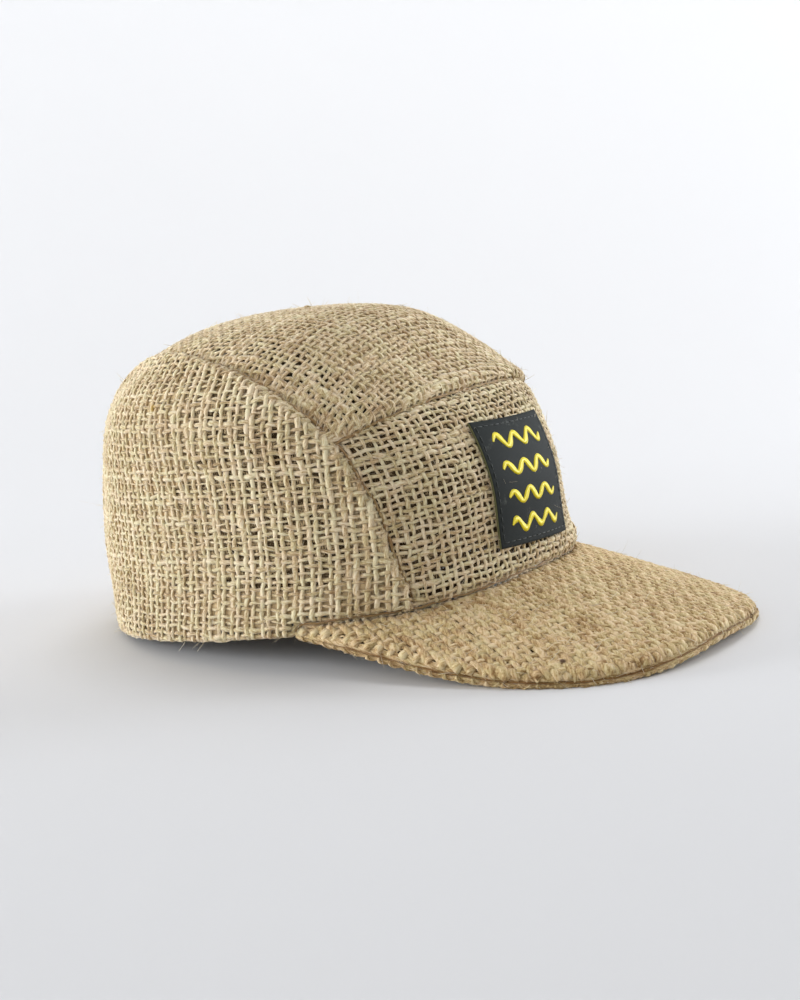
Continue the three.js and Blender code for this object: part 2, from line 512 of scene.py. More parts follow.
def crossing_line(grid, value):
    """The points of a grid's lines at which a value given on the grid passes through zero."""
    found = []
    for axis in (0, 1):
        ahead = np.roll(grid, -1, axis), np.roll(value, -1, axis)
        cut = [slice(None), slice(None)]
        cut[axis] = slice(0, -1)
        a, b = value[tuple(cut)], ahead[1][tuple(cut)]
        start, end = grid[tuple(cut)], ahead[0][tuple(cut)]
        crossed = (a > 0) != (b > 0)
        share = (a / np.where(a == b, 1, a - b))[crossed]
        found.append(start[crossed] + (end[crossed] - start[crossed]) * share[:, None])
    return np.concatenate(found)


class Edge:
    """One edge of a panel: its line, the side of it that the panel lies on, and how the cloth ends there."""

    def __init__(self, line, side, finish, start=0.0, facing=1):
        self.tree = KDTree(len(line))
        for k, point in enumerate(line):
            self.tree.insert(point, k)
        self.tree.balance()
        self.side, self.finish, self.start, self.facing = side, finish, start, facing

    def gap(self, points):
        """How far inside the edge each point lies."""
        reach = np.array([self.tree.find(p)[2] for p in points])
        signed = np.where(self.side(points) > 0, reach, -reach)
        return self.facing * (signed - self.start)


def next_knot(skin, beside, below, corner, pitch, row):
    """Where a yarn crosses the next one, at set distances from the two crossings next to it."""
    place, normal = skin.nearest(beside + below - corner)
    for _ in range(4):
        from_beside, from_below = place - beside, place - below
        a, b = from_beside.normalized(), from_below.normalized()
        short_a, short_b = pitch - from_beside.length, row - from_below.length
        cosine = a.dot(b)
        spread = max(1 - cosine * cosine, 0.25)
        move = a * ((short_a - cosine * short_b) / spread) + b * ((short_b - cosine * short_a) / spread)
        place, normal = skin.nearest(place + move)
    return place, normal


def walk(skin, start, heading, stride, count):
    """Places a stride apart along a straight course over the skin."""
    places = [start]
    for _ in range(count):
        here = places[-1][0]
        place, normal = skin.nearest(here + heading * stride)
        step = place - here
        heading = (step - normal * step.dot(normal)).normalized()
        places.append((place, normal))
    return places


def lay_net(skin, start, heading, pitch, row, reach):
    """The crossings of a cloth laid over a skin, its yarns kept at their length, from a start outwards.

    heading is the way of the upright yarns; reach is how far the net goes left, right, down and up."""
    place, normal = skin.nearest(Vector(start))
    ahead = Vector(heading)
    ahead = (ahead - normal * ahead.dot(normal)).normalized()
    across = ahead.cross(normal)
    left, right = (math.ceil(side / pitch) for side in reach[:2])
    down, up = (math.ceil(side / row) for side in reach[2:])
    net = {}
    for sign, count in ((-1, left), (1, right)):
        for k, found in enumerate(walk(skin, (place, normal), across * sign, pitch, count)):
            net[sign * k, 0] = found
    for sign, count in ((-1, down), (1, up)):
        for k, found in enumerate(walk(skin, (place, normal), ahead * sign, row, count)):
            net[0, sign * k] = found
    for i_sign, i_count in ((-1, left), (1, right)):
        for j_sign, j_count in ((-1, down), (1, up)):
            for i in range(1, i_count + 1):
                for j in range(1, j_count + 1):
                    beside = net[(i - 1) * i_sign, j * j_sign][0]
                    below = net[i * i_sign, (j - 1) * j_sign][0]
                    corner = net[(i - 1) * i_sign, (j - 1) * j_sign][0]
                    net[i * i_sign, j * j_sign] = next_knot(skin, beside, below, corner, pitch, row)
    order = [[net[i, j] for j in range(-down, up + 1)] for i in range(-left, right + 1)]
    knots = np.array([[found[0] for found in line] for line in order])
    normals = np.array([[found[1] for found in line] for line in order])
    return knots, normals


# Yarns


class Yarn:
    """How one family of yarns is spun and woven, in metres."""

    def __init__(self, width, height, crimp, wander, unevenness=0.13, slub_share=0.05, pairing=0.0, tone=0.0):
        self.width, self.height, self.crimp, self.wander = width, height, crimp, wander
        self.unevenness, self.slub_share, self.pairing, self.tone = unevenness, slub_share, pairing, tone


def waves(rng, at, length, size):
    """Smooth chance along a yarn, from a few waves of about the given length in crossings."""
    total = np.zeros_like(at)
    for stretch in (0.45, 1.0, 2.3):
        total += np.sin(2 * math.pi * (at / (length * stretch * rng.uniform(0.8, 1.25)) + rng.random()))
    return total * size / math.sqrt(1.5)


def slubs(rng, at, share):
    """Thick places in the spinning, each a few crossings long."""
    swell = np.zeros_like(at)
    for _ in range(rng.poisson(share * at[-1])):
        middle, spread = rng.uniform(0, at[-1]), rng.uniform(0.8, 2.2)
        swell += rng.uniform(0.2, 0.55) * np.exp(-(((at - middle) / spread) ** 2))
    return swell


# Yarns darker than this, chiefly the cords toned near black as painted shade in creases, lie inside a fold,
# and stay this far off what the cap rests on
SHADE_CORD_TONE = -4
INNER_LIFT = 0.8 * MM


class Cloth:
    """Gathers yarns as rings of corners in the crown's frame and makes one mesh of them."""

    # A yarn's section has five sides, with a flat one below
    SIDES = 5
    FIRST_CORNER = np.radians(234)

    def __init__(self, sides=SIDES, steps=3):
        """An empty cloth: sides are those of each yarn's section, steps those from crossing to crossing."""
        self.sides, self.steps = sides, steps
        self.corners, self.tones, self.quads, self.caps, self.uvs = [], [], [], [], []
        self.count = 0

    def add(self, line, up, width, height, tone, start=0.0):
        """A yarn along a line, its flat side square to up, as wide and thick as the two lists say."""
        rings, sides = len(line), self.sides
        along = unit(np.gradient(line, axis=0))
        beside = unit(np.cross(along, up))
        above = np.cross(beside, along)
        turn = self.FIRST_CORNER + np.arange(sides) * 2 * math.pi / sides
        spread = beside[:, None, :] * (np.cos(turn)[None, :, None] * width[:, None, None] / 2)
        rise = above[:, None, :] * (np.sin(turn)[None, :, None] * height[:, None, None] / 2)
        ring = line[:, None, :] + spread + rise
        self.corners.append(ring.reshape(-1, 3))
        self.tones.append(np.full(rings * sides, tone))
        number = self.count + np.arange(rings * sides).reshape(rings, sides)
        after = np.roll(number, -1, 1)
        quads = np.stack([number[:-1], after[:-1], after[1:], number[1:]], -1).reshape(-1, 4)
        self.quads.append(quads)
        self.caps.append(number[0][::-1])
        self.caps.append(number[-1])
        length = start + distance_along(line)
        u = length / (10 * MM)
        v = np.arange(sides + 1) / sides
        faces = ((u[:-1], v[:-1]), (u[:-1], v[1:]), (u[1:], v[1:]), (u[1:], v[:-1]))
        corners_uv = [np.stack(np.broadcast_arrays(a[:, None], b[None, :]), -1) for a, b in faces]
        self.uvs.append(np.stack(corners_uv, 2).reshape(-1, 2))
        self.count += rings * sides

    def build(self, name, placed=to_world):
        """The mesh object, closed at each yarn's ends and pressed flat where it meets the floor."""
        points = placed(np.concatenate(self.corners))
        tones = np.concatenate(self.tones)
        points[:, 2] = np.maximum(points[:, 2], np.where(tones < SHADE_CORD_TONE, INNER_LIFT, 0))
        quads, caps = np.concatenate(self.quads), np.stack(self.caps)
        mesh = bpy.data.meshes.new(name)
        mesh.vertices.add(len(points))
        mesh.vertices.foreach_set("co", points.astype(np.float32).ravel())
        mesh.loops.add(quads.size + caps.size)
        mesh.loops.foreach_set("vertex_index", np.concatenate([quads.ravel(), caps.ravel()]).astype(np.int32))
        mesh.polygons.add(len(quads) + len(caps))
        starts = np.concatenate([np.arange(len(quads)) * 4, quads.size + np.arange(len(caps)) * self.sides])
        mesh.polygons.foreach_set("loop_start", starts.astype(np.int32))
        mesh.update(calc_edges=True)
        mesh.polygons.foreach_set("use_smooth", np.ones(len(quads) + len(caps), bool))
        layer = mesh.uv_layers.new(name="along_yarn")
        uv = np.concatenate([np.concatenate(self.uvs), np.zeros((caps.size, 2))])
        layer.data.foreach_set("uv", uv.astype(np.float32).ravel())
        tone = mesh.attributes.new("tone", "FLOAT", "POINT")
        tone.data.foreach_set("value", tones.astype(np.float32))
        mesh.validate()
        return add_object(name, mesh)


def stretches(clear):
    """The numbered places of a yarn's stretches inside its panel, with their cut ends between places."""
    inside = np.concatenate([[False], clear > 0, [False]])
    starts = np.flatnonzero(inside[1:-1] & ~inside[:-2])
    ends = np.flatnonzero(inside[1:-1] & ~inside[2:])
    least = 0.2
    for first, last in zip(starts, ends):
        at = np.arange(first, last + 1, dtype=float)
        if first > 0:
            cut = first - clear[first] / (clear[first] - clear[first - 1])
            at = np.concatenate([[cut], at[1:] if first - cut < least else at])
        if last < len(clear) - 1:
            cut = last + clear[last] / (clear[last] - clear[last + 1])
            at = np.concatenate([at[:-1] if cut - last < least else at, [cut]])
        if len(at) > 3:
            yield at


# How a yarn strays from point to point, and how a panel's edge is tucked in or folded round
ROUGHNESS = 0.05 * MM
TUCK_DEPTH = 1.6 * MM
TUCK_REACH = 2.6 * MM
FOLD_RADIUS = 1.05 * MM
FOLD_TURNS = np.radians([50, 100, 150, 190])

# The ridge along each kind of folded edge: its share of the full height, and how far in it is highest
RIDGES = {"rolled": (1.0, 2.4 * MM), "foot": (0.7, 2.4 * MM), "rim": (0.3, 4.8 * MM)}


def edge_lift(finish, gap, ridge):
    """How far the cloth stands out near an edge of each kind."""
    near = np.maximum(gap, 0)
    if finish in RIDGES:
        share, reach = RIDGES[finish]
        return share * ridge * near / reach * np.exp(1 - near / reach)
    if finish == "tucked":
        return -TUCK_DEPTH * np.exp(-((near / TUCK_REACH) ** 2))
    return np.zeros_like(gap)


def fold_end(line, up, at_start):
    """Carries a yarn's end round a small fold and back under the cloth."""
    end, nearby = (0, 1) if at_start else (-1, -2)
    ahead = unit(line[end] - line[nearby])
    above = unit(up[end] - ahead * (up[end] @ ahead))
    places = [line[end] + FOLD_RADIUS * (ahead * math.sin(t) - above * (1 - math.cos(t))) for t in FOLD_TURNS]
    facing = [above * math.cos(t) + ahead * math.sin(t) for t in FOLD_TURNS]
    if at_start:
        return np.concatenate([places[::-1], line]), np.concatenate([facing[::-1], up])
    return np.concatenate([line, places]), np.concatenate([up, facing])


def lay_yarn(cloth, rng, knots, normals, parity, yarn, edges, ridge=0.0, shift=0.0, lean=0.0):
    """One yarn through its crossings, over and under by turns, cut and finished at the panel's edges."""
    at = np.arange((len(knots) - 1) * cloth.steps + 1) / cloth.steps
    line, up = catmull(knots, at), unit(catmull(normals, at))
    beside = unit(np.cross(np.gradient(line, axis=0), up))
    stray = lean + waves(rng, at, 7, yarn.wander) + rng.normal(0, yarn.wander * 0.5)
    line = line + beside * (stray + rng.normal(0, ROUGHNESS, len(at)))[:, None]
    lift = yarn.crimp * np.cos(np.pi * (at + parity)) + shift
    gaps = np.array([edge.gap(line) for edge in edges]) if edges else np.ones((1, len(line)))
    for edge, gap in zip(edges, gaps):
        lift = lift + edge_lift(edge.finish, gap, ridge)
    line = line + up * lift[:, None]
    evenness = (1 + rng.normal(0, yarn.unevenness)) * (1 + waves(rng, at, 5, 0.09))
    swell = evenness + slubs(rng, at, yarn.slub_share)
    swell = swell + rng.normal(0, 0.07, len(at))
    width, height = yarn.width * swell, yarn.height * np.sqrt(swell)
    tone = rng.normal(yarn.tone, 1)
    clear = gaps.min(0)
    for stretch in stretches(clear):
        part, facing = catmull(line, stretch), unit(catmull(up, stretch))
        wide = np.interp(stretch, np.arange(len(line)), width)
        thick = np.interp(stretch, np.arange(len(line)), height)
        for at_start in (True, False):
            number = int(round(stretch[0] if at_start else stretch[-1]))
            if not edges or 0 < number < len(line) - 1:
                finish = edges[int(gaps[:, number].argmin())].finish if edges else "plain"
                if finish in ("rolled", "rim", "foot"):
                    part, facing = fold_end(part, facing, at_start)
                    pad = (len(FOLD_TURNS), 0) if at_start else (0, len(FOLD_TURNS))
                    wide, thick = np.pad(wide, pad, "edge"), np.pad(thick, pad, "edge")
        cloth.add(part, facing, wide, thick, tone, rng.uniform(0, 1))


def weave(cloth, rng, net, upright, row, edges, ridge=0.0, shift=0.0):
    """Both families of yarns over a net of crossings."""
    knots, normals = net
    for i in range(knots.shape[0]):
        lean = upright.pairing * (1 if i % 2 else -1)
        lay_yarn(cloth, rng, knots[i], normals[i], i, upright, edges, ridge, shift, lean)
    for j in range(knots.shape[1]):
        lay_yarn(cloth, rng, knots[:, j], normals[:, j], j + 1, row, edges, ridge, shift)


def seam_course(points, along, spacing=1.3 * MM):
    """The points of a seam put in order by a value that grows along it, smoothed and evenly spaced."""
    line = points[np.argsort(along)]
    travelled = distance_along(line)
    at = np.linspace(0, travelled[-1], int(travelled[-1] / spacing))
    rough = np.stack([np.interp(at, travelled, line[:, k]) for k in range(3)], -1)
    padded = np.concatenate([rough[:1]] * 2 + [rough] + [rough[-1:]] * 2)
    return sum(padded[k : k + len(rough)] for k in range(5)) / 5


def lay_cord(cloth, rng, skin, line, inward, offset, lift, yarn, tone):
    """One yarn that runs along a seam, beside its line and a way above the cloth's middle."""
    found = [skin.nearest(Vector(point)) for point in line]
    places = np.array([place for place, _ in found])
    up = np.array([normal for _, normal in found])
    beside = unit(np.cross(np.gradient(places, axis=0), up))
    beside *= np.sign((beside * inward(places)).sum(-1))[:, None]
    at = np.arange(len(line)) / 2
    stray = offset + waves(rng, at, 7, yarn.wander)
    places = places + beside * stray[:, None] + up * (lift + waves(rng, at, 5, 0.12 * MM))[:, None]
    swell = 1 + waves(rng, at, 5, 0.10) + slubs(rng, at, yarn.slub_share)
    width, height = yarn.width * swell, yarn.height * np.sqrt(swell)
    cloth.add(places, up, width, height, rng.normal(tone, 1), rng.uniform(0, 1))


# How far the web reaches past each kind of edge, how deep it lies below the cloth's middle, how much deeper
# where it is full, and how thick it is
WEB_REACH = {"rolled": 2.2 * MM, "tucked": 2.2 * MM, "rim": -0.5 * MM, "foot": -0.3 * MM}
WEB_DEPTH = 0.35 * MM
WEB_DROP = 1.05 * MM
WEB_THICKNESS = 0.12 * MM


def haze(name, net, edges, fill):
    """A thin web just inside a weave, partly loose fibres and partly near-black painted shade in the gaps, a
    closed sheet that carries how full it is.
    """
    knots, normals = net
    flat = knots.reshape(-1, 3)
    gaps = np.array([edge.gap(flat) + WEB_REACH[edge.finish] for edge in edges])
    inside = (gaps.min(0) > 0).reshape(knots.shape[:2])
    whole = inside[:-1, :-1] & inside[1:, :-1] & inside[1:, 1:] & inside[:-1, 1:]
    fullness = fill(flat)
    depth = WEB_DEPTH + WEB_DROP * np.clip((fullness - 0.95) / 0.05, 0, 1)
    for edge, gap in zip(edges, gaps):
        depth = depth - edge_lift(edge.finish, gap - WEB_REACH[edge.finish], 0)
    outer = flat - normals.reshape(-1, 3) * depth[:, None]
    inner = outer - normals.reshape(-1, 3) * WEB_THICKNESS
    number = np.arange(len(flat)).reshape(knots.shape[:2])
    cells = np.stack([number[:-1, :-1], number[1:, :-1], number[1:, 1:], number[:-1, 1:]], -1)[whole]
    used, renumbered = np.unique(cells, return_inverse=True)
    cells = renumbered.reshape(-1, 4)
    if facing_in(outer[used], cells, normals.reshape(-1, 3)[used]):
        cells = cells[:, ::-1]
    sides = np.stack([cells, np.roll(cells, -1, 1)], -1).reshape(-1, 2)
    keys, counts = np.unique(np.sort(sides, 1), axis=0, return_counts=True)
    border = {tuple(key) for key, count in zip(keys.tolist(), counts) if count == 1}
    rim = [(b, a, a + len(used), b + len(used)) for a, b in sides.tolist() if tuple(sorted((a, b))) in border]
    faces = cells.tolist() + (cells[:, ::-1] + len(used)).tolist() + rim
    points = to_world(np.concatenate([outer[used], inner[used]]))
    points[:, 2] = np.maximum(points[:, 2], 0)
    mesh = bpy.data.meshes.new(name)
    mesh.from_pydata(points.tolist(), [], faces)
    mesh.polygons.foreach_set("use_smooth", np.ones(len(faces), bool))
    grid = np.stack(np.unravel_index(used, knots.shape[:2]), -1).astype(float)
    layer = mesh.uv_layers.new(name="in_weave")
    corners = np.zeros(len(mesh.loops), int)
    mesh.loops.foreach_get("vertex_index", corners)
    layer.data.foreach_set("uv", grid[corners % len(used)].astype(np.float32).ravel())
    mark = mesh.attributes.new("fill", "FLOAT", "POINT")
    mark.data.foreach_set("value", np.tile(fullness[used], 2).astype(np.float32))
    return add_object(name, mesh)


def facing_in(points, cells, normals):
    """Whether the first face of some cells points against the normals."""
    a, b, d = points[cells[0, 0]], points[cells[0, 1]], points[cells[0, 3]]
    return np.cross(b - a, d - a) @ normals[cells[0, 0]] < 0


# Materials


def new_node(tree, kind, inputs=None, **settings):
    """A new node with its settings, its inputs set or linked."""
    node = tree.nodes.new(kind)
    for name, value in settings.items():
        setattr(node, name, value)
    for name, value in (inputs or {}).items():
        socket = node.inputs[name]
        if isinstance(value, bpy.types.NodeSocket):
            tree.links.new(value, socket)
        else:
            socket.default_value = value
    return node


def noise(tree, place, scale, detail, roughness=0.5):
    """A noise that varies over the surface, from 0 to 1."""
    inputs = {"Vector": place, "Scale": scale, "Detail": detail, "Roughness": roughness}
    return new_node(tree, "ShaderNodeTexNoise", inputs).outputs["Fac"]


def math_node(tree, operation, *values):
    """The result of a sum on values or sockets."""
    return new_node(tree, "ShaderNodeMath", dict(enumerate(values)), operation=operation).outputs[0]


def new_group(name, inputs, outputs):
    """An empty shader group with named sockets, its input node and its output node."""
    group = bpy.data.node_groups.new(name, "ShaderNodeTree")
    for socket, (kind, value) in inputs.items():
        made = group.interface.new_socket(socket, in_out="INPUT", socket_type=kind)
        if value is not None:
            made.default_value = value
    for socket, kind in outputs.items():
        group.interface.new_socket(socket, in_out="OUTPUT", socket_type=kind)
    return group, group.nodes.new("NodeGroupInput"), group.nodes.new("NodeGroupOutput")


def colour_mix(tree, factor, first, second, blend="MIX"):
    """Two colours mixed by a factor."""
    node = new_node(tree, "ShaderNodeMix", data_type="RGBA", blend_type=blend)
    for socket, value in ((0, factor), (6, first), (7, second)):
        if isinstance(value, bpy.types.NodeSocket):
            tree.links.new(value, node.inputs[socket])
        else:
            node.inputs[socket].default_value = value
    return node.outputs[2]


def map_range(tree, value, low, high, to_low=0.0, to_high=1.0):
    """A value moved from one range to another."""
    inputs = {"Value": value, "From Min": low, "From Max": high, "To Min": to_low, "To Max": to_high}
    return new_node(tree, "ShaderNodeMapRange", inputs).outputs["Result"]


# Jute is a little pinker here and greener there
PINK_CAST = (1.0, 0.965, 0.93, 1.0)
OLIVE_CAST = (0.95, 0.985, 0.88, 1.0)


def jute_group():
    """Spun fibres that wind round a yarn: their colour, with painted shade on each yarn's underside, and
    their relief as a height.
    """
    found = bpy.data.node_groups.get("spun_jute")
    if found:
        return found
    group, inside, outside = new_group(
        "spun_jute",
        {
            "Along": ("NodeSocketVector", None),
            "Place": ("NodeSocketVector", None),
            "Tone": ("NodeSocketFloat", 0.0),
            "Straw": ("NodeSocketColor", (0.5, 0.4, 0.2, 1)),
            "Pale": ("NodeSocketColor", (0.7, 0.6, 0.4, 1)),
            "Brown": ("NodeSocketColor", (0.25, 0.15, 0.07, 1)),
            "Twist": ("NodeSocketFloat", 0.5),
            "Contrast": ("NodeSocketFloat", 1.0),
        },
        {"Color": "NodeSocketColor", "Height": "NodeSocketFloat"},
    )
    uv = new_node(group, "ShaderNodeSeparateXYZ", {"Vector": inside.outputs["Along"]})
    wound = math_node(group, "MULTIPLY", uv.outputs["X"], inside.outputs["Twist"])
    turn = math_node(group, "MULTIPLY", math_node(group, "ADD", uv.outputs["Y"], wound), 2 * math.pi)
    slip = math_node(group, "MULTIPLY", inside.outputs["Tone"], 7.3)
    length = math_node(group, "ADD", math_node(group, "MULTIPLY", uv.outputs["X"], 2.0), slip)
    winding = new_node(
        group,
        "ShaderNodeCombineXYZ",
        {"X": math_node(group, "COSINE", turn), "Y": math_node(group, "SINE", turn), "Z": length},
    ).outputs[0]
    place = inside.outputs["Place"]
    fibres = noise(group, winding, 1.5, 3.0, 0.7)
    patches = noise(group, place, 75.0, 2.0, 0.6)
    specks = noise(group, place, 1300.0, 1.0)
    shares = ((fibres, 2.8), (patches, 0.8), (specks, 0.7))
    middle = 0.5 - sum(share for _, share in shares) / 2
    light = math_node(group, "MULTIPLY_ADD", inside.outputs["Tone"], 0.09, middle)
    for pattern, share in shares:
        light = math_node(group, "MULTIPLY_ADD", pattern, share, light)
    # Painted shade: each yarn's colour is lighter at the outer corner of its section and darker on the flat
    # side that faces into the cloth
    lit_turn = math_node(group, "MULTIPLY_ADD", uv.outputs["Y"], 2 * math.pi, 1.3 * math.pi)
    painted_underside_shade = math_node(group, "SINE", lit_turn)
    light = math_node(group, "MULTIPLY_ADD", painted_underside_shade, 0.16, math_node(group, "SUBTRACT", light, 0.06))
    about = math_node(group, "SUBTRACT", light, 0.5)
    light = math_node(group, "MULTIPLY_ADD", about, inside.outputs["Contrast"], 0.5)
    up_to_straw = map_range(group, light, 0.10, 0.48)
    up_to_pale = map_range(group, light, 0.48, 0.88)
    darker = colour_mix(group, up_to_straw, inside.outputs["Brown"], inside.outputs["Straw"])
    colour = colour_mix(group, up_to_pale, darker, inside.outputs["Pale"])
    hue = noise(group, place, 210.0, 1.0)
    cast = colour_mix(group, map_range(group, hue, 0.38, 0.62), PINK_CAST, OLIVE_CAST)
    tinted = colour_mix(group, 1.0, colour, cast, "MULTIPLY")
    group.links.new(tinted, outside.inputs["Color"])
    group.links.new(fibres, outside.inputs["Height"])
    return group


def web_group():
    """Loose fibres across a weave's gaps, and painted shade between them: their colour, and where there are
    any.
    """
    found = bpy.data.node_groups.get("fibre_web_and_painted_shade")
    if found:
        return found
    group, inside, outside = new_group(
        "fibre_web_and_painted_shade",
        {
            "Weave": ("NodeSocketVector", None),
            "Fill": ("NodeSocketFloat", 0.5),
            "Pale": ("NodeSocketColor", (0.5, 0.4, 0.25, 1)),
            "Brown": ("NodeSocketColor", (0.25, 0.15, 0.07, 1)),
        },
        {"Color": "NodeSocketColor", "Alpha": "NodeSocketFloat"},
    )
    strands = []
    for scale in ((9.0, 1.1, 1.0), (1.1, 9.0, 1.0)):
        inputs = {0: inside.outputs["Weave"], 1: scale}
        stretched = new_node(group, "ShaderNodeVectorMath", inputs, operation="MULTIPLY").outputs[0]
        strands.append(noise(group, stretched, 1.0, 2.0, 0.7))
    tuft = noise(group, inside.outputs["Weave"], 0.55, 2.0)
    either = math_node(group, "MAXIMUM", *strands)
    level = math_node(group, "MULTIPLY_ADD", tuft, 0.5, math_node(group, "SUBTRACT", either, 0.25))
    open_below = map_range(group, inside.outputs["Fill"], 0.0, 1.0, 0.58, 0.10)
    alpha = map_range(group, math_node(group, "SUBTRACT", level, open_below), 0.0, 0.05)
    # Painted shade: below this level the web is coloured near-black brown for the shade in the gaps, less of
    # it the fuller the web
    painted_shade_below = map_range(group, inside.outputs["Fill"], 0.0, 1.0, 0.80, 0.26)
    paleness = map_range(group, math_node(group, "SUBTRACT", level, painted_shade_below), 0.0, 0.14)
    colour = colour_mix(group, paleness, inside.outputs["Brown"], inside.outputs["Pale"])
    group.links.new(colour, outside.inputs["Color"])
    group.links.new(alpha, outside.inputs["Alpha"])
    return group


def rgba(colour):
    """A colour with full alpha."""
    return (*colour, 1.0)


def new_material(name):
    """A new material with its node tree and its shader."""
    material = bpy.data.materials.new(name)
    material.use_nodes = True
    tree = material.node_tree
    return material, tree, tree.nodes["Principled BSDF"]


# The two spots of another colour that show on the cloth, where the cap rests
YELLOW_FLECK = {"place": (-0.0765, 0.0653, 0.1002), "radius": 2.2 * MM, "colour": (0.46, 0.28, 0.05)}
DARK_FLECK = {"place": (-0.0594, -0.1081, 0.0079), "radius": 1.6 * MM, "colour": (0.06, 0.022, 0.012)}


def flecked(tree, place, colour, fleck):
    """A colour with a small soft spot of another one in it."""
    away = new_node(
        tree, "ShaderNodeVectorMath", {0: place, 1: fleck["place"]}, operation="DISTANCE"
    ).outputs["Value"]
    share = map_range(tree, away, fleck["radius"], fleck["radius"] * 0.45, 0.0, 0.9)
    return colour_mix(tree, share, colour, rgba(fleck["colour"]))


def jute_material(name, cloth, contrast, sheen, fleck, warmth=(1.0, 1.0, 1.0)):
    """Matt jute whose fibres follow each yarn, with its colours warmed or cooled a little."""
    material, tree, shader = new_material(name)
    uv = new_node(tree, "ShaderNodeUVMap", uv_map="along_yarn").outputs["UV"]
    tone = new_node(tree, "ShaderNodeAttribute", attribute_name="tone").outputs["Fac"]
    place = new_node(tree, "ShaderNodeTexCoord").outputs["Object"]
    jute = new_node(tree, "ShaderNodeGroup", node_tree=jute_group())
    for socket, value in (("Along", uv), ("Place", place), ("Tone", tone)):
        tree.links.new(value, jute.inputs[socket])
    jute.inputs["Contrast"].default_value = contrast
    for socket, colour in (("Straw", cloth.straw), ("Pale", cloth.pale_straw), ("Brown", cloth.brown_straw)):
        jute.inputs[socket].default_value = rgba(c * w for c, w in zip(colour, warmth))
    bump = new_node(
        tree, "ShaderNodeBump", {"Strength": 0.8, "Distance": 0.25 * MM, "Height": jute.outputs["Height"]}
    )
    tree.links.new(flecked(tree, place, jute.outputs["Color"], fleck), shader.inputs["Base Color"])
    tree.links.new(bump.outputs["Normal"], shader.inputs["Normal"])
    shader.inputs["Roughness"].default_value = 0.85
    shader.inputs["Specular IOR Level"].default_value = 0.25
    shader.inputs["Sheen Weight"].default_value = sheen
    shader.inputs["Sheen Roughness"].default_value = 0.5
    shader.inputs["Sheen Tint"].default_value = (1.0, 0.93, 0.80, 1.0)
    return material


def haze_and_shade_material(cloth):
    """The web in the gaps of the weave: loose fibres, and near-black brown as painted shade where it is less
    full.
    """
    material, tree, shader = new_material("fibre_haze_and_painted_shade")
    weave_uv = new_node(tree, "ShaderNodeUVMap", uv_map="in_weave").outputs["UV"]
    fill = new_node(tree, "ShaderNodeAttribute", attribute_name="fill").outputs["Fac"]
    web = new_node(tree, "ShaderNodeGroup", node_tree=web_group())
    tree.links.new(weave_uv, web.inputs["Weave"])
    tree.links.new(fill, web.inputs["Fill"])
    web.inputs["Pale"].default_value = rgba(c * 1.1 for c in cloth.straw)
    # Painted shade: the web's near-black brown stands for the shade deep in the weave's gaps
    web.inputs["Brown"].default_value = rgba(c * 0.14 for c in cloth.brown_straw)
    tree.links.new(web.outputs["Color"], shader.inputs["Base Color"])
    tree.links.new(web.outputs["Alpha"], shader.inputs["Alpha"])
    shader.inputs["Roughness"].default_value = 0.9
    shader.inputs["Specular IOR Level"].default_value = 0.1
    return material


def finish_piece(piece, material, slot, *replaced):
    """Gives a piece its material and its place in the frame; the slot is not used."""
    piece.data.materials.clear()
    piece.data.materials.append(material)
    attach(piece, "root")
    if replaced:
        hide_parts(*replaced)
    return piece


def shared_material(name, make):
    """A material by its name, made when it is first asked for."""
    return bpy.data.materials.get(name) or make()


def burlap():
    """The open jute of the crown."""
    cloth = bpy.context.scene.cap_cloth
    return shared_material("open_jute", lambda: jute_material("open_jute", cloth, 0.9, 0.6, YELLOW_FLECK))


def add_haze(name, net, edges, fill):
    """Lays the web of loose fibres and painted shade inside a panel."""
    cloth = bpy.context.scene.cap_cloth
    piece = haze(name, net, edges, fill)
    finish_piece(piece, shared_material("fibre_haze_and_painted_shade", lambda: haze_and_shade_material(cloth)), "burlap")
    return piece


def filled_near(edge, reach, share, nearest=1.0):
    """How full the web is: a share of its own within reach of an edge, and the panel's share elsewhere."""
    return lambda points: share + (nearest - share) * np.clip((reach - edge.gap(points)) / (2 * MM), 0, 1)


def open_beside(edge, share, opening):
    """How full the web is on the top: a share, looser in a band beside the front of the side seams."""

    def fill(points):
        inside = edge.gap(points)
        band = np.clip((inside - 3 * MM) / (3 * MM), 0, 1) * np.clip((26 * MM - inside) / (8 * MM), 0, 1)
        ahead = np.clip((50 * MM - points[:, 1]) / (12 * MM), 0, 1)
        return share - opening * band * ahead

    return fill


def fuller_behind(front, back):
    """How full the web is on a side panel: looser and with more painted shade ahead, fuller behind."""
    return lambda points: front + (back - front) * np.clip((points[:, 1] + 10 * MM) / (60 * MM), 0, 1)


# The hem: its height, how full the web is over it, its depth in the crown, how far its rows rise as a share
# of the crown, and how many there are
HEM_HEIGHT = 18 * MM
HEM_FILL = 0.86
HEM_DEPTH = 2.2 * MM
HEM_RISE = 0.115
HEM_ROWS = 8

# The two yarns of the fold along the rim: how far in and how far up each lies
RIM_FOLD = ((0.3 * MM, 0.9 * MM), (1.9 * MM, 0.7 * MM))


def fuller(*fills):
    """The fullest of some webs."""
    return lambda points: np.max([fill(points) for fill in fills], 0)


# What the operators share, worked out once


SHARED = {}


def shared(name, make):
    """Something that more than one operator needs, made when it is first asked for."""
    if name not in SHARED:
        SHARED[name] = make()
    return SHARED[name]


def middle_skin():
    """The form that the crown's cloth is laid on, in the middle of its thickness."""
    depth = bpy.context.scene.cap_cloth.middle_depth
    return shared("middle skin", lambda: crown_skin(depth))


def outer_skin():
    """The crown's outer face."""
    return shared("outer skin", lambda: crown_skin(0))


def over_peak(points):
    """How far above the peak's upper face a point of the crown lies; behind the peak it is clear of it."""
    x, y, z = points[..., 0], points[..., 1], points[..., 2]
    return np.where(y < PEAK_CORNER[1], z - peak_top(x, y) - FOOT_LIFT, 1)


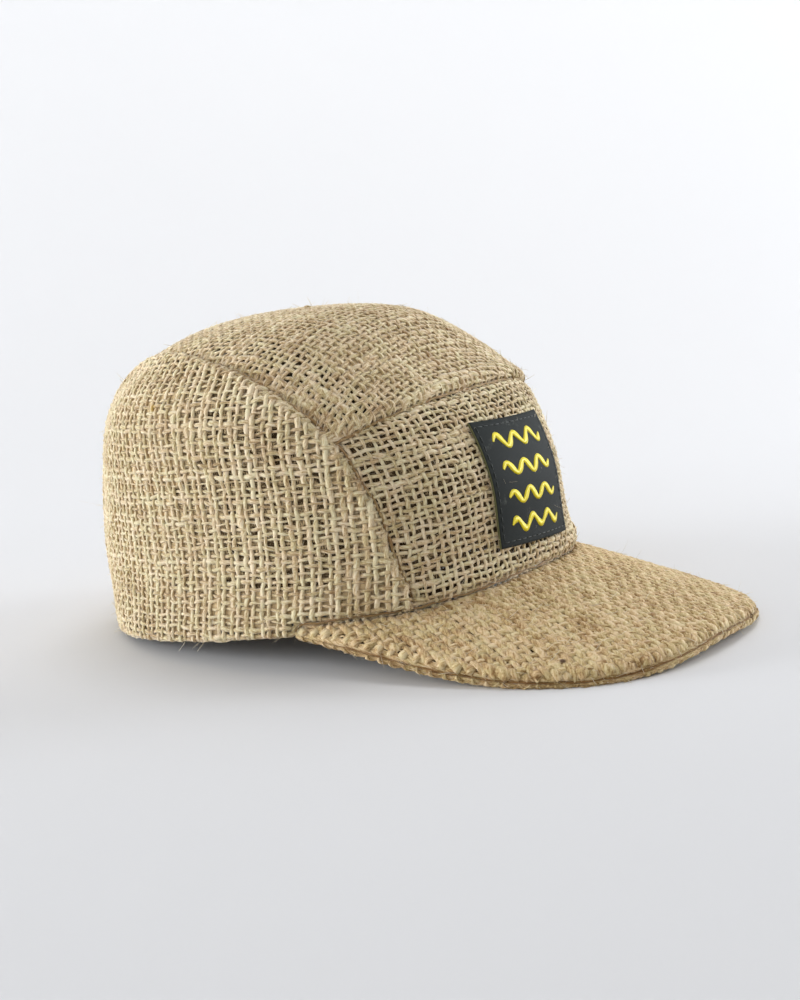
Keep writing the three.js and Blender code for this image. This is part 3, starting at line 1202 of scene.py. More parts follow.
def seam_lines():
    """The side seams, front seam, rim and foot on the peak as crowds of points on the cloth's middle."""

    def make():
        grid = middle_skin().grid
        front = crossing_line(grid, seam_gap(grid))
        foot = crossing_line(grid, over_peak(grid))
        rim = crown_point(np.linspace(-math.pi, math.pi, 1800), 0, bpy.context.scene.cap_cloth.middle_depth)
        return {
            "side": crossing_line(grid, strip_gap(grid)),
            "front": front[(strip_gap(front) > -2 * MM) & (front[:, 1] < 0)],
            "rim": rim,
            "foot": foot[(foot[:, 1] < PEAK_CORNER[1] - 1 * MM) & (rim_gap(foot) > 0)],
        }

    return shared("seam lines", make)


def over_side(sign):
    """Tells what lies over the side panel at that sign of x."""
    return lambda points: np.where(points[..., 0] * sign > 0, -strip_gap(points), -1)


def in_front(points):
    """Tells what lies ahead of the front seam."""
    return -seam_gap(points)


def cut_area(net, clear_of):
    """The flat area of the cloth of a net that lies inside its edges."""
    knots = net[0]
    flat = knots.reshape(-1, 3)
    inside = np.all([edge.gap(flat) > 0 for edge in clear_of], 0).sum()
    pitch = np.linalg.norm(knots[1, 0] - knots[0, 0])
    row = np.linalg.norm(knots[0, 1] - knots[0, 0])
    return float(inside * pitch * row)


def side_yarns():
    """The upright yarns and the rows of the side panels."""
    cloth = bpy.context.scene.cap_cloth
    upright = Yarn(2.05 * MM, 1.2 * MM, 0.20 * MM, cloth.wander * 0.7, 0.12, 0.04, cloth.pairing, 0.7)
    row = Yarn(1.4 * MM, 0.9 * MM, 0.46 * MM, cloth.wander, 0.18, 0.07, tone=-0.5)
    return upright, row


def top_yarns():
    """The upright yarns and the rows of the top panel."""
    wander = bpy.context.scene.cap_cloth.wander
    upright = Yarn(2.05 * MM, 0.9 * MM, 0.22 * MM, wander, tone=-1.2)
    return upright, Yarn(2.05 * MM, 0.9 * MM, 0.22 * MM, wander, 0.16, 0.07, tone=-1.2)


def front_yarns():
    """The upright yarns and the rows of the front panel."""
    wander = bpy.context.scene.cap_cloth.wander
    upright = Yarn(1.45 * MM, 1.0 * MM, 0.36 * MM, wander, tone=1.5)
    return upright, Yarn(1.55 * MM, 1.0 * MM, 0.45 * MM, wander, 0.16, 0.07, tone=0.6)


# The yarns that lie along a fold: millimetres in from the seam and above the cloth's middle, and their tone;
# the first, toned near black deep in the crease, is painted shade
SEAM_CORDS = [
    {"offset": 0.0, "lift": -1.1, "tone": -6, "width": 1.5},
    {"offset": 1.7, "lift": 0.2, "tone": 0, "width": 1.7},
    {"offset": 3.0, "lift": 0.75, "tone": 0, "width": 1.7},
    {"offset": 4.4, "lift": 0.5, "tone": 0, "width": 1.7},
]
# The first yarn along the foot, toned near black, is painted shade in the crease where the crown meets the
# peak
FOOT_CORDS = [
    {"offset": -0.3, "lift": -0.4, "tone": -7, "width": 1.0},
    {"offset": 0.9, "lift": -0.5, "tone": -1, "width": 1.5},
]


def seam_fold(name, rng, skin, course, inward, cords):
    """The yarns of the folded edge that fill the ridge along a seam."""
    folded = Cloth()
    for cord in cords:
        yarn = Yarn(cord["width"] * MM, 0.7 * cord["width"] * MM, 0, 0.2 * MM)
        offset, lift = cord["offset"] * MM, cord["lift"] * MM
        lay_cord(folded, rng, skin, course, inward, offset, lift, yarn, cord["tone"])
    return finish_piece(folded.build(name), burlap(), "burlap")


def round_the_side(points):
    """A value that grows along a side seam from the front of the rim over the crown to the back."""
    return np.arctan2(-(points[:, 1] - 5 * MM), points[:, 2] + 20 * MM) * -1


# The folded edge of a side panel ends where its seam runs this far under the peak's face
FOLD_UNDER_PEAK = 1.5 * MM


class CAP_OT_side_panels(bpy.types.Operator):
    """Weave the two side panels, rolled under along the side seams and the rim"""

    bl_idname = "cap.side_panels"
    bl_label = "Side panels"

    def execute(self, context):
        cloth, lines, skin = context.scene.cap_cloth, seam_lines(), middle_skin()
        upright, row = side_yarns()
        for sign, side in ((-1, "right"), (1, "left")):
            rng = np.random.default_rng(11 + sign)
            seam = Edge(lines["side"], over_side(sign), "rolled", FOLD_RADIUS)
            rim = Edge(lines["rim"], rim_gap, "rim", FOLD_RADIUS)
            edges = [seam, rim, Edge(lines["foot"], over_peak, "foot", FOLD_RADIUS)]
            start = (sign * 83 * MM, 0, 48 * MM)
            reach = (112 * MM, 112 * MM, 52 * MM, 84 * MM)
            net = lay_net(skin, start, (0, 0, 1), cloth.side_pitch, cloth.row_pitch, reach)
            woven = Cloth()
            weave(woven, rng, net, upright, row, edges, cloth.ridge)
            mine = lines["side"][lines["side"][:, 0] * sign > 0]
            mine = mine[over_peak(mine) > -FOLD_UNDER_PEAK]
            course = seam_course(mine, round_the_side(mine))
            outwards = np.array([sign, 0, -0.6])
            fold = seam_fold(f"side_fold_{side}", rng, skin, course, lambda places: outwards, SEAM_CORDS)
            piece = finish_piece(woven.build(f"side_cloth_{side}"), burlap(), "burlap", f"side_panel_{side}")
            fill = fuller(
                filled_near(seam, cloth.allowance_width, 0),
                filled_near(rim, HEM_HEIGHT, 0, HEM_FILL),
                fuller_behind(cloth.side_fill, 0.90),
            )
            web = add_haze(f"side_web_{side}", net, edges, fill)
            area = cut_area(net, edges)
        return {"FINISHED"}


class CAP_OT_top_panel(bpy.types.Operator):
    """Weave the long strip over the crown, rolled under along the front seam"""

    bl_idname = "cap.top_panel"
    bl_label = "Top panel"

    def execute(self, context):
        cloth, lines, skin = context.scene.cap_cloth, seam_lines(), middle_skin()
        upright, row = top_yarns()
        rng = np.random.default_rng(21)
        side = Edge(lines["side"], strip_gap, "tucked")
        seam = Edge(lines["front"], seam_gap, "rolled", FOLD_RADIUS)
        rim = Edge(lines["rim"], rim_gap, "rim", FOLD_RADIUS)
        edges = [side, seam, rim]
        reach = (75 * MM, 75 * MM, 225 * MM, 95 * MM)
        net = lay_net(skin, (0, 0, 126 * MM), (0, -1, 0), cloth.strip_pitch, cloth.top_row_pitch, reach)
        woven = Cloth()
        weave(woven, rng, net, upright, row, edges, cloth.ridge)
        course = seam_course(lines["front"], lines["front"][:, 0])
        fold = seam_fold("front_fold", rng, skin, course, lambda places: np.array([0, 1, 0.5]), SEAM_CORDS)
        piece = finish_piece(woven.build("top_cloth"), burlap(), "burlap", "top_panel")
        fill = fuller(
            filled_near(seam, cloth.allowance_width * 0.6, 0),
            filled_near(rim, HEM_HEIGHT, 0, HEM_FILL),
            open_beside(side, cloth.top_fill, 0.90),
        )
        web = add_haze("top_web", net, edges, fill)
        area = cut_area(net, edges)
        return {"FINISHED"}


class CAP_OT_front_panel(bpy.types.Operator):
    """Weave the panel over the forehead"""

    bl_idname = "cap.front_panel"
    bl_label = "Front panel"

    def execute(self, context):
        cloth, lines, skin = context.scene.cap_cloth, seam_lines(), middle_skin()
        upright, row = front_yarns()
        rng = np.random.default_rng(31)
        foot = Edge(lines["foot"], over_peak, "foot", FOLD_RADIUS)
        edges = [
            Edge(lines["side"], strip_gap, "tucked"),
            Edge(lines["front"], in_front, "tucked"),
            foot,
        ]
        reach = (85 * MM, 85 * MM, 52 * MM, 60 * MM)
        start = (0, -97 * MM, 52 * MM)
        net = lay_net(skin, start, (0, 0, 1), cloth.strip_pitch, cloth.row_pitch, reach)
        woven = Cloth()
        weave(woven, rng, net, upright, row, edges, cloth.ridge)
        piece = finish_piece(woven.build("front_cloth"), burlap(), "burlap", "front_panel")
        web = add_haze("front_web", net, edges, filled_near(foot, 1 * MM, cloth.front_fill))
        course = seam_course(lines["foot"], lines["foot"][:, 0])
        fold = seam_fold("foot_fold", rng, skin, course, lambda places: np.array([0, 0, 1]), FOOT_CORDS)
        area = cut_area(net, edges)
        return {"FINISHED"}


class CAP_OT_hem(bpy.types.Operator):
    """Weave the second layer of cloth that is turned up inside the rim"""

    bl_idname = "cap.hem"
    bl_label = "Rim hem"

    def execute(self, context):
        cloth = context.scene.cap_cloth
        fine = np.linspace(-math.pi, math.pi, 2000)
        ring = crown_point(fine, 0.05, HEM_DEPTH)
        travelled = distance_along(ring)
        count = 2 * round(travelled[-1] / cloth.strip_pitch / 2)
        angles = np.interp(np.linspace(0, travelled[-1], count + 1), travelled, fine)
        rises = HEM_RISE * (np.arange(HEM_ROWS) + 0.2) / (HEM_ROWS - 0.8)
        knots = crown_point(angles[:, None], rises[None, :], HEM_DEPTH)
        normals = crown_normal(angles[:, None], rises[None, :])
        upright, row = side_yarns()
        rng = np.random.default_rng(41)
        woven = Cloth(steps=2)
        for i in range(count):
            lay_yarn(woven, rng, knots[i], normals[i], i, upright, [])
        for j in range(HEM_ROWS):
            lay_yarn(woven, rng, knots[:, j], normals[:, j], j + 1, row, [])
        piece = finish_piece(woven.build("hem_cloth"), burlap(), "burlap", "rim_hem")
        cord = Yarn(2.2 * MM, 1.7 * MM, 0, 0.15 * MM)
        rim = crown_point(np.linspace(-math.pi, math.pi, 430), 0, cloth.middle_depth + 0.6 * MM)
        skin = middle_skin()
        woven = Cloth()
        for depth, height in RIM_FOLD:
            found = np.array([skin.nearest(Vector(point))[1] for point in rim])
            line = rim - found * depth + np.array([0, 0, height])
            at = np.arange(len(line)) / 2
            swell = 1 + waves(rng, at, 5, 0.10)
            line = line + found * waves(rng, at, 6, 0.15 * MM)[:, None]
            woven.add(line, found, cord.width * swell, cord.height * swell, rng.normal(0, 1))
        edge = finish_piece(woven.build("rim_fold"), burlap(), "burlap")
        return {"FINISHED"}


class CAP_OT_allowances(bpy.types.Operator):
    """Weave the doubled strips of cloth inside the side seams and the front seam"""

    bl_idname = "cap.allowances"
    bl_label = "Seam allowances"

    def execute(self, context):
        cloth, lines, skin = context.scene.cap_cloth, seam_lines(), middle_skin()
        upright, row = front_yarns()
        width, inner = cloth.allowance_width, -1.5 * MM
        for sign, name in ((-1, "seam_allowance_right"), (1, "seam_allowance_left")):
            rng = np.random.default_rng(51 + sign)
            edges = [
                Edge(lines["side"], over_side(sign), "plain", 0.8 * MM),
                Edge(lines["side"], over_side(sign), "plain", width, -1),
                Edge(lines["rim"], rim_gap, "plain", 15 * MM),
            ]
            reach = (112 * MM, 112 * MM, 60 * MM, 90 * MM)
            start = (sign * 83 * MM, 6 * MM, 50 * MM)
            heading = (0, 0.42, 1)
            net = lay_net(skin, start, heading, cloth.strip_pitch, cloth.row_pitch, reach)
            woven = Cloth()
            weave(woven, rng, net, upright, row, edges, 0, inner)
            piece = finish_piece(woven.build(name), burlap(), "burlap")
            area = cut_area(net, edges)
        rng = np.random.default_rng(57)
        edges = [
            Edge(lines["front"], seam_gap, "plain", 0.8 * MM),
            Edge(lines["front"], seam_gap, "plain", width, -1),
            Edge(lines["side"], strip_gap, "plain", 1.5 * MM),
        ]
        reach = (75 * MM, 75 * MM, 30 * MM, 30 * MM)
        start = (0, -74 * MM, 96 * MM)
        net = lay_net(skin, start, (0.25, 0, 1), cloth.strip_pitch, cloth.row_pitch, reach)
        woven = Cloth()
        weave(woven, rng, net, upright, row, edges, 0, inner)
        piece = finish_piece(woven.build("seam_allowance_front"), burlap(), "burlap")
        area = cut_area(net, edges)
        return {"FINISHED"}


# The peak


PEAK_CORNER = crown_surface(PEAK_CORNER_ANGLE, 0)


def near_corner(x, y):
    """How near a place of the peak is to one of its corners, 1 at the corner, where it thins out."""
    along = np.clip(1 - (PEAK_CORNER[1] - y) / CORNER_REACH, 0, 1)
    return along**2 * np.clip(abs(x / PEAK_CORNER[0]), 0, 1) ** 6


def peak_top(x, y):
    """The height of the peak's upper face over a place in plan."""
    fall = math.tan(PEAK_PITCH) * (PEAK_CORNER[1] - y)
    arch = PEAK_ARCH * (1 - (x / PEAK_CORNER[0]) ** 2)
    return PEAK_HEIGHT - fall + arch - CORNER_DROP * near_corner(x, y)


def peak_middle(x, y):
    """The height of the seam between the peak's two covers, and half the peak's thickness there."""
    half = (PEAK_THICKNESS - CORNER_THINNING * near_corner(x, y)) / 2
    return peak_top(x, y) - half, half


def peak_outline(angle):
    """The peak's edge in plan: angle 0 is the middle of its front, a quarter turn either way its corners."""
    power = 2 / PEAK_SQUARENESS
    x = PEAK_CORNER[0] * np.sign(np.sin(angle)) * abs(np.sin(angle)) ** power
    y = PEAK_CORNER[1] - PEAK_LENGTH * abs(np.cos(angle)) ** power
    return np.stack([x, y, np.zeros_like(x)], -1)


class PeakEdge:
    """The peak's outline, which tells how far inside it a place in plan lies and which way is out."""

    def __init__(self):
        half = math.pi / 2
        share = np.linspace(-1, 1, 4001)
        self.line = peak_outline(half * np.sign(share) * abs(share) ** 1.5)
        along = unit(np.gradient(self.line, axis=0))
        self.outward = np.stack([along[:, 1], -along[:, 0], np.zeros(len(along))], -1)
        self.tree = KDTree(len(self.line))
        for k, point in enumerate(self.line):
            self.tree.insert(point, k)
        self.tree.balance()

    def measure(self, plan):
        """For each place: the nearest point of the edge, the way out there, and how far in it lies."""
        number = np.array([self.tree.find(p)[1] for p in plan])
        nearest, outward = self.line[number], self.outward[number]
        return nearest, outward, -((plan - nearest) * outward).sum(-1)


def peak_edge():
    """The peak's outline, measured once."""
    return shared("peak edge", PeakEdge)


def peak_place(plan, side, depth):
    """A place of the peak's unrolled cover, over the flat and then round the lip, and its normal."""
    nearest, outward, inset = peak_edge().measure(plan)
    turn = np.clip((PEAK_LIP_RADIUS - inset) / PEAK_LIP_RADIUS, 0, LOWER_LIP_TURN)[:, None]
    lip = nearest - outward * PEAK_LIP_RADIUS
    rolled = lip + outward * PEAK_LIP_RADIUS * np.sin(turn)
    at = np.where(inset[:, None] < PEAK_LIP_RADIUS, rolled, plan)
    middle, half = peak_middle(at[:, 0], at[:, 1])
    full = np.cos(turn[:, 0]) * (half - PEAK_SEAM_GAP / 2)
    height = middle + side * (PEAK_SEAM_GAP / 2 + full)
    slope = np.stack(
        [
            2 * PEAK_ARCH * at[:, 0] / PEAK_CORNER[0] ** 2,
            np.full(len(at), -math.tan(PEAK_PITCH)),
            np.ones(len(at)),
        ],
        -1,
    )
    normal = unit(unit(slope) * side * np.cos(turn) + outward * np.sin(turn))
    return np.stack([at[:, 0], at[:, 1], height], -1) - normal * depth, normal


def peak_line_yarn(cloth, rng, plan, parity, yarn, side, depth, crown):
    """One straight yarn of the peak's cover, from the crown round the lip to the edge seam."""
    at = np.arange(len(plan)) / cloth.steps
    across = unit(np.cross(plan[-1] - plan[0], UP))
    strayed = plan + across * (waves(rng, at, 6, yarn.wander) + rng.normal(0, yarn.wander * 0.4))[:, None]
    line, up = peak_place(strayed, side, depth)
    _, outward, inset = peak_edge().measure(strayed)
    square_on = abs((outward * unit(plan[-1] - plan[0])).sum(-1))
    beside_lip = 3.4 * MM * np.clip((0.60 - square_on) / 0.16, 0, 1)
    last_turn = (UPPER_LIP_TURN if side > 0 else LOWER_LIP_TURN) + rng.normal(0, 0.03)
    past_lip = inset - np.maximum(PEAK_LIP_RADIUS * (1 - last_turn), beside_lip)
    clear = np.minimum(past_lip, crown.gap(line) + 0.9 * MM)
    tucked = LIP_TUCK * np.clip(1 - past_lip / LIP_TUCK_REACH, 0, 1) ** 2
    lift = yarn.crimp * np.cos(np.pi * (at + parity)) - tucked
    line = line + up * lift[:, None]
    evenness = (1 + rng.normal(0, yarn.unevenness)) * (1 + waves(rng, at, 4, 0.08))
    swell = evenness + slubs(rng, at, yarn.slub_share)
    width, height = yarn.width * swell, yarn.height * np.sqrt(swell)
    tone = rng.normal(0, 1)
    for stretch in stretches(clear):
        number = np.arange(len(line))
        cloth.add(
            catmull(line, stretch),
            unit(catmull(up, stretch)),
            np.interp(stretch, number, width),
            np.interp(stretch, number, height),
            tone,
            rng.uniform(0, 1),
        )


LIP_CORD = Yarn(2.3 * MM, 1.3 * MM, 0, 0)
# The yarns along the peak's edge under its covers; the last, toned near black, is painted shade in the groove
# between the upper and lower cover
LIP_CORDS = [
    {"turn": math.radians(-26), "depth": 1.3 * MM, "tone": -0.5},
    {"turn": math.radians(4), "depth": 1.3 * MM, "tone": 0},
    {"turn": math.radians(32), "depth": 1.45 * MM, "tone": -0.5},
    {"turn": math.radians(54), "depth": 1.6 * MM, "tone": -1},
    {"turn": math.radians(78), "depth": 2.3 * MM, "tone": -7},
]


def lip_cord(cloth, rng, cord, side):
    """A yarn that runs along the peak's edge under its cover, a way round the lip."""
    turn = cord["turn"]
    rim = peak_edge().line
    travelled = distance_along(rim)
    course = np.linspace(2 * MM, travelled[-1] - 2 * MM, int(travelled[-1] / (1.4 * MM)))
    number = np.searchsorted(travelled, course)
    plan = rim[number] - peak_edge().outward[number] * PEAK_LIP_RADIUS * (1 - turn)
    at = np.arange(len(plan)) / 2
    line, up = peak_place(plan, side, cord["depth"])
    line = line + up * waves(rng, at, 5, 0.12 * MM)[:, None]
    swell = 1 + waves(rng, at, 5, 0.12)
    cloth.add(line, up, LIP_CORD.width * swell, LIP_CORD.height * swell, rng.normal(cord["tone"], 0.4), 0)


def peak_filling(side, crown):
    """The stiff inside of one half of the peak, a closed shell a little way under its cover."""
    depth, columns, rows = 0.8 * MM, 96, 30
    past_edge = PEAK_LIP_RADIUS * ((UPPER_LIP_TURN if side > 0 else LOWER_LIP_TURN) - 0.4 - 1)
    angles = np.linspace(-math.pi / 2, math.pi / 2, columns + 1)
    angles = math.pi / 2 * np.sign(angles) * abs(angles / (math.pi / 2)) ** 1.3
    edge = peak_outline(angles)
    middle = np.array([0, PEAK_CORNER[1], 0])
    shares = np.linspace(0, 1, 120)
    outer, inner = [], []
    for end in edge:
        ray = middle + (end - middle) * shares[:, None]
        line, _ = peak_place(ray, side, depth)
        inside_crown = np.flatnonzero(crown.gap(line) < -0.8 * MM)
        start = shares[inside_crown[-1]] if len(inside_crown) else 0.0
        end_share = 1 + past_edge / np.linalg.norm(end - middle)
        start = min(start, end_share - 0.002)
        plan = middle + (end - middle) * np.linspace(start, end_share, rows)[:, None]
        inset = peak_edge().measure(plan)[2]
        sunk = depth + FILLING_SINK * np.clip((2 * MM - inset) / (3 * MM), 0, 1)
        line, _ = peak_place(plan, side, sunk[:, None])
        seam = peak_middle(line[:, 0], line[:, 1])[0] + side * PEAK_SEAM_GAP / 2
        level = np.stack([line[:, 0], line[:, 1], seam], -1)
        line[:, 2] = np.maximum(side * line[:, 2], side * seam + 0.1 * MM) * side
        outer.append(line)
        inner.append(level)
    return np.array(outer), np.array(inner)


def shell_mesh(name, outer, inner):
    """A closed shell between two grids of points."""
    columns, rows = outer.shape[:2]
    points = np.concatenate([outer.reshape(-1, 3), inner.reshape(-1, 3)])
    front = np.arange(columns * rows).reshape(columns, rows)
    back = front + columns * rows
    faces = []
    for i in range(columns - 1):
        for j in range(rows - 1):
            faces.append((front[i, j], front[i + 1, j], front[i + 1, j + 1], front[i, j + 1]))
            faces.append((back[i, j + 1], back[i + 1, j + 1], back[i + 1, j], back[i, j]))
        faces.append((back[i, 0], back[i + 1, 0], front[i + 1, 0], front[i, 0]))
        faces.append((front[i, -1], front[i + 1, -1], back[i + 1, -1], back[i, -1]))
    for j in range(rows - 1):
        faces.append((front[0, j], front[0, j + 1], back[0, j + 1], back[0, j]))
        faces.append((back[-1, j], back[-1, j + 1], front[-1, j + 1], front[-1, j]))
    world = to_world(points)
    world[:, 2] = np.maximum(world[:, 2], 0.3 * MM)
    mesh = bpy.data.meshes.new(name)
    mesh.from_pydata(world.tolist(), [], [[int(k) for k in face] for face in faces])
    mesh.validate()
    return add_object(name, mesh)


def face_outwards(piece):
    """Points every face of a closed piece outwards."""
    bpy.ops.object.select_all(action="DESELECT")
    piece.select_set(True)
    bpy.context.view_layer.objects.active = piece
    bpy.ops.object.mode_set(mode="EDIT")
    bpy.ops.mesh.select_all(action="SELECT")
    bpy.ops.mesh.remove_doubles(threshold=1e-6)
    bpy.ops.mesh.normals_make_consistent(inside=False)
    bpy.ops.object.mode_set(mode="OBJECT")
    bpy.ops.object.shade_smooth_by_angle(angle=math.radians(50))


def backing_material():
    """The ground between the peak's yarns: matted fibre in lighter patches, and painted shade in near-black
    ones that show as dark dashes between the yarns.
    """
    cloth = bpy.context.scene.cap_cloth
    material, tree, shader = new_material("peak_ground_and_shade")
    place = new_node(tree, "ShaderNodeTexCoord").outputs["Object"]
    grain = noise(tree, place, 420.0, 2.0)
    # Painted shade: the near-black brown stands for the shade deep between the peak's yarns
    shade = [c * 0.12 for c in cloth.brown_straw]
    light = [c * 0.5 for c in cloth.straw]
    felt_or_painted_shade = map_range(tree, grain, 0.48, 0.62)
    tree.links.new(colour_mix(tree, felt_or_painted_shade, rgba(shade), rgba(light)), shader.inputs["Base Color"])
    shader.inputs["Roughness"].default_value = 0.95
    shader.inputs["Specular IOR Level"].default_value = 0.05
    return material


CLOSE_WARMTH = (0.86, 0.79, 0.68)
PEAK_NET_REACH = 115 * MM


def close_jute():
    """The darker, warmer jute of the peak's covers."""
    cloth = bpy.context.scene.cap_cloth
    return jute_material("close_jute", cloth, 0.92, 0.25, DARK_FLECK, CLOSE_WARMTH)


class CAP_OT_peak(bpy.types.Operator):
    """Cover the peak above and below in its closer weave, rolled to the edge seam"""

    bl_idname = "cap.peak"
    bl_label = "Peak"

    def execute(self, context):
        peak = context.scene.cap_peak
        crown = outer_skin()
        material = shared_material("close_jute", close_jute)
        ground = shared_material("peak_ground_and_shade", backing_material)
        forward = Yarn(3.5 * MM, 1.35 * MM, 0.24 * MM, 0.22 * MM, 0.12, 0.07)
        cross = Yarn(4.0 * MM, 1.15 * MM, 0.22 * MM, 0.25 * MM, 0.14, 0.05)
        ahead = Vector((math.sin(peak.turn), -math.cos(peak.turn), 0))
        aside = Vector((math.cos(peak.turn), math.sin(peak.turn), 0))
        middle = Vector((0, PEAK_CORNER[1] - PEAK_LENGTH / 2, 0))
        reach = PEAK_NET_REACH
        for side, node in ((1, "peak_upper"), (-1, "peak_lower")):
            rng = np.random.default_rng(61 + side)
            woven = Cloth()
            lines = int(reach / peak.forward_pitch)
            rows = int(reach / peak.cross_pitch)
            for i in range(-lines, lines + 1):
                count = 2 * rows * woven.steps + 1
                along = np.linspace(-rows, rows, count) * peak.cross_pitch
                plan = np.array(middle + aside * i * peak.forward_pitch) + along[:, None] * np.array(ahead)
                peak_line_yarn(woven, rng, plan, i, forward, side, peak.cover_depth, crown)
            for j in range(-rows, rows + 1):
                count = 2 * lines * woven.steps + 1
                along = np.linspace(-lines, lines, count) * peak.forward_pitch
                plan = np.array(middle + ahead * j * peak.cross_pitch) + along[:, None] * np.array(aside)
                peak_line_yarn(woven, rng, plan, j + rows + lines + 1, cross, side, peak.cover_depth, crown)
            for cord in LIP_CORDS:
                lip_cord(woven, rng, cord, side)
            piece = woven.build(f"{node}_cover")
            outer, inner = peak_filling(side, crown)
            filling = shell_mesh(f"{node}_filling", outer, inner)
            face_outwards(filling)
            finish_piece(filling, ground, "dense_burlap", node)
            finish_piece(piece, material, "dense_burlap", node)
        return {"FINISHED"}


# The patch


# How far the patch lies off the crown's form, and how much of its thickness the sewing leaves
PATCH_CLEARANCE = 0.3 * MM
SEWN_SHARE = 0.75


def on_patch(patch, across, upwards):
    """Places given from the patch's middle, as it is turned: across the front and in height."""
    c, s = math.cos(patch.turn), math.sin(patch.turn)
    middle = (patch.bottom + patch.top) / 2
    return patch.offset + across * c + upwards * s, middle + upwards * c - across * s


def patch_point(x, height, stand):
    """A place on the front of the crown, a given way off it, with its normal."""
    rises = np.linspace(0, 0.8, 400)
    rise = np.interp(height, crown_surface(0, rises)[:, 2], rises)
    angle = np.arctan2(x, -crown_surface(0, rise)[..., 1])
    return crown_point(angle, rise, -stand), crown_normal(angle, rise)


def patch_material(patch):
    """Dark painted cloth, scuffed at its edges, with its cut edge showing olive."""
    material, tree, shader = new_material("patch_face")
    place = new_node(tree, "ShaderNodeTexCoord").outputs["Object"]
    grain = noise(tree, place, 2200.0, 2.0, 0.6)
    scuffs = noise(tree, place, 160.0, 6.0, 0.75)
    worn = map_range(tree, scuffs, 0.60, 0.74, 0.0, 0.35)
    face = colour_mix(tree, grain, rgba(c * 0.8 for c in patch.face), rgba(c * 1.35 for c in patch.face))
    scuffed = colour_mix(tree, worn, face, (0.22, 0.23, 0.20, 1))
    rim = new_node(tree, "ShaderNodeAttribute", attribute_name="cut_edge").outputs["Fac"]
    tree.links.new(colour_mix(tree, rim, scuffed, rgba(patch.cut_edge)), shader.inputs["Base Color"])
    bump = new_node(tree, "ShaderNodeBump", {"Strength": 0.5, "Distance": 0.1 * MM, "Height": grain})
    tree.links.new(bump.outputs["Normal"], shader.inputs["Normal"])
    shader.inputs["Roughness"].default_value = 0.65
    shader.inputs["Specular IOR Level"].default_value = 0.15
    return material


def plain_material(name, colour, roughness, grain_scale, spread):
    """A plain finish with a fine grain in its colour."""
    material, tree, shader = new_material(name)
    place = new_node(tree, "ShaderNodeTexCoord").outputs["Object"]
    grain = noise(tree, place, grain_scale, 3.0)
    dark, light = rgba(c * (1 - spread) for c in colour), rgba(min(c * (1 + spread), 1) for c in colour)
    tree.links.new(colour_mix(tree, grain, dark, light), shader.inputs["Base Color"])
    shader.inputs["Roughness"].default_value = roughness
    return material


# The painted waves: their height on the patch in millimetres and the phase at which each one's swing varies
STROKES = [
    {"height": 16.2, "lean": 0.6},
    {"height": 5.4, "lean": 2.2},
    {"height": -5.4, "lean": 4.0},
    {"height": -16.2, "lean": 5.3},
]
STROKE_HALF = 16.5 * MM
STROKE_SWING = 2.2 * MM
STROKE_WAVES = 3
STROKE_WIDTH = 2.6 * MM


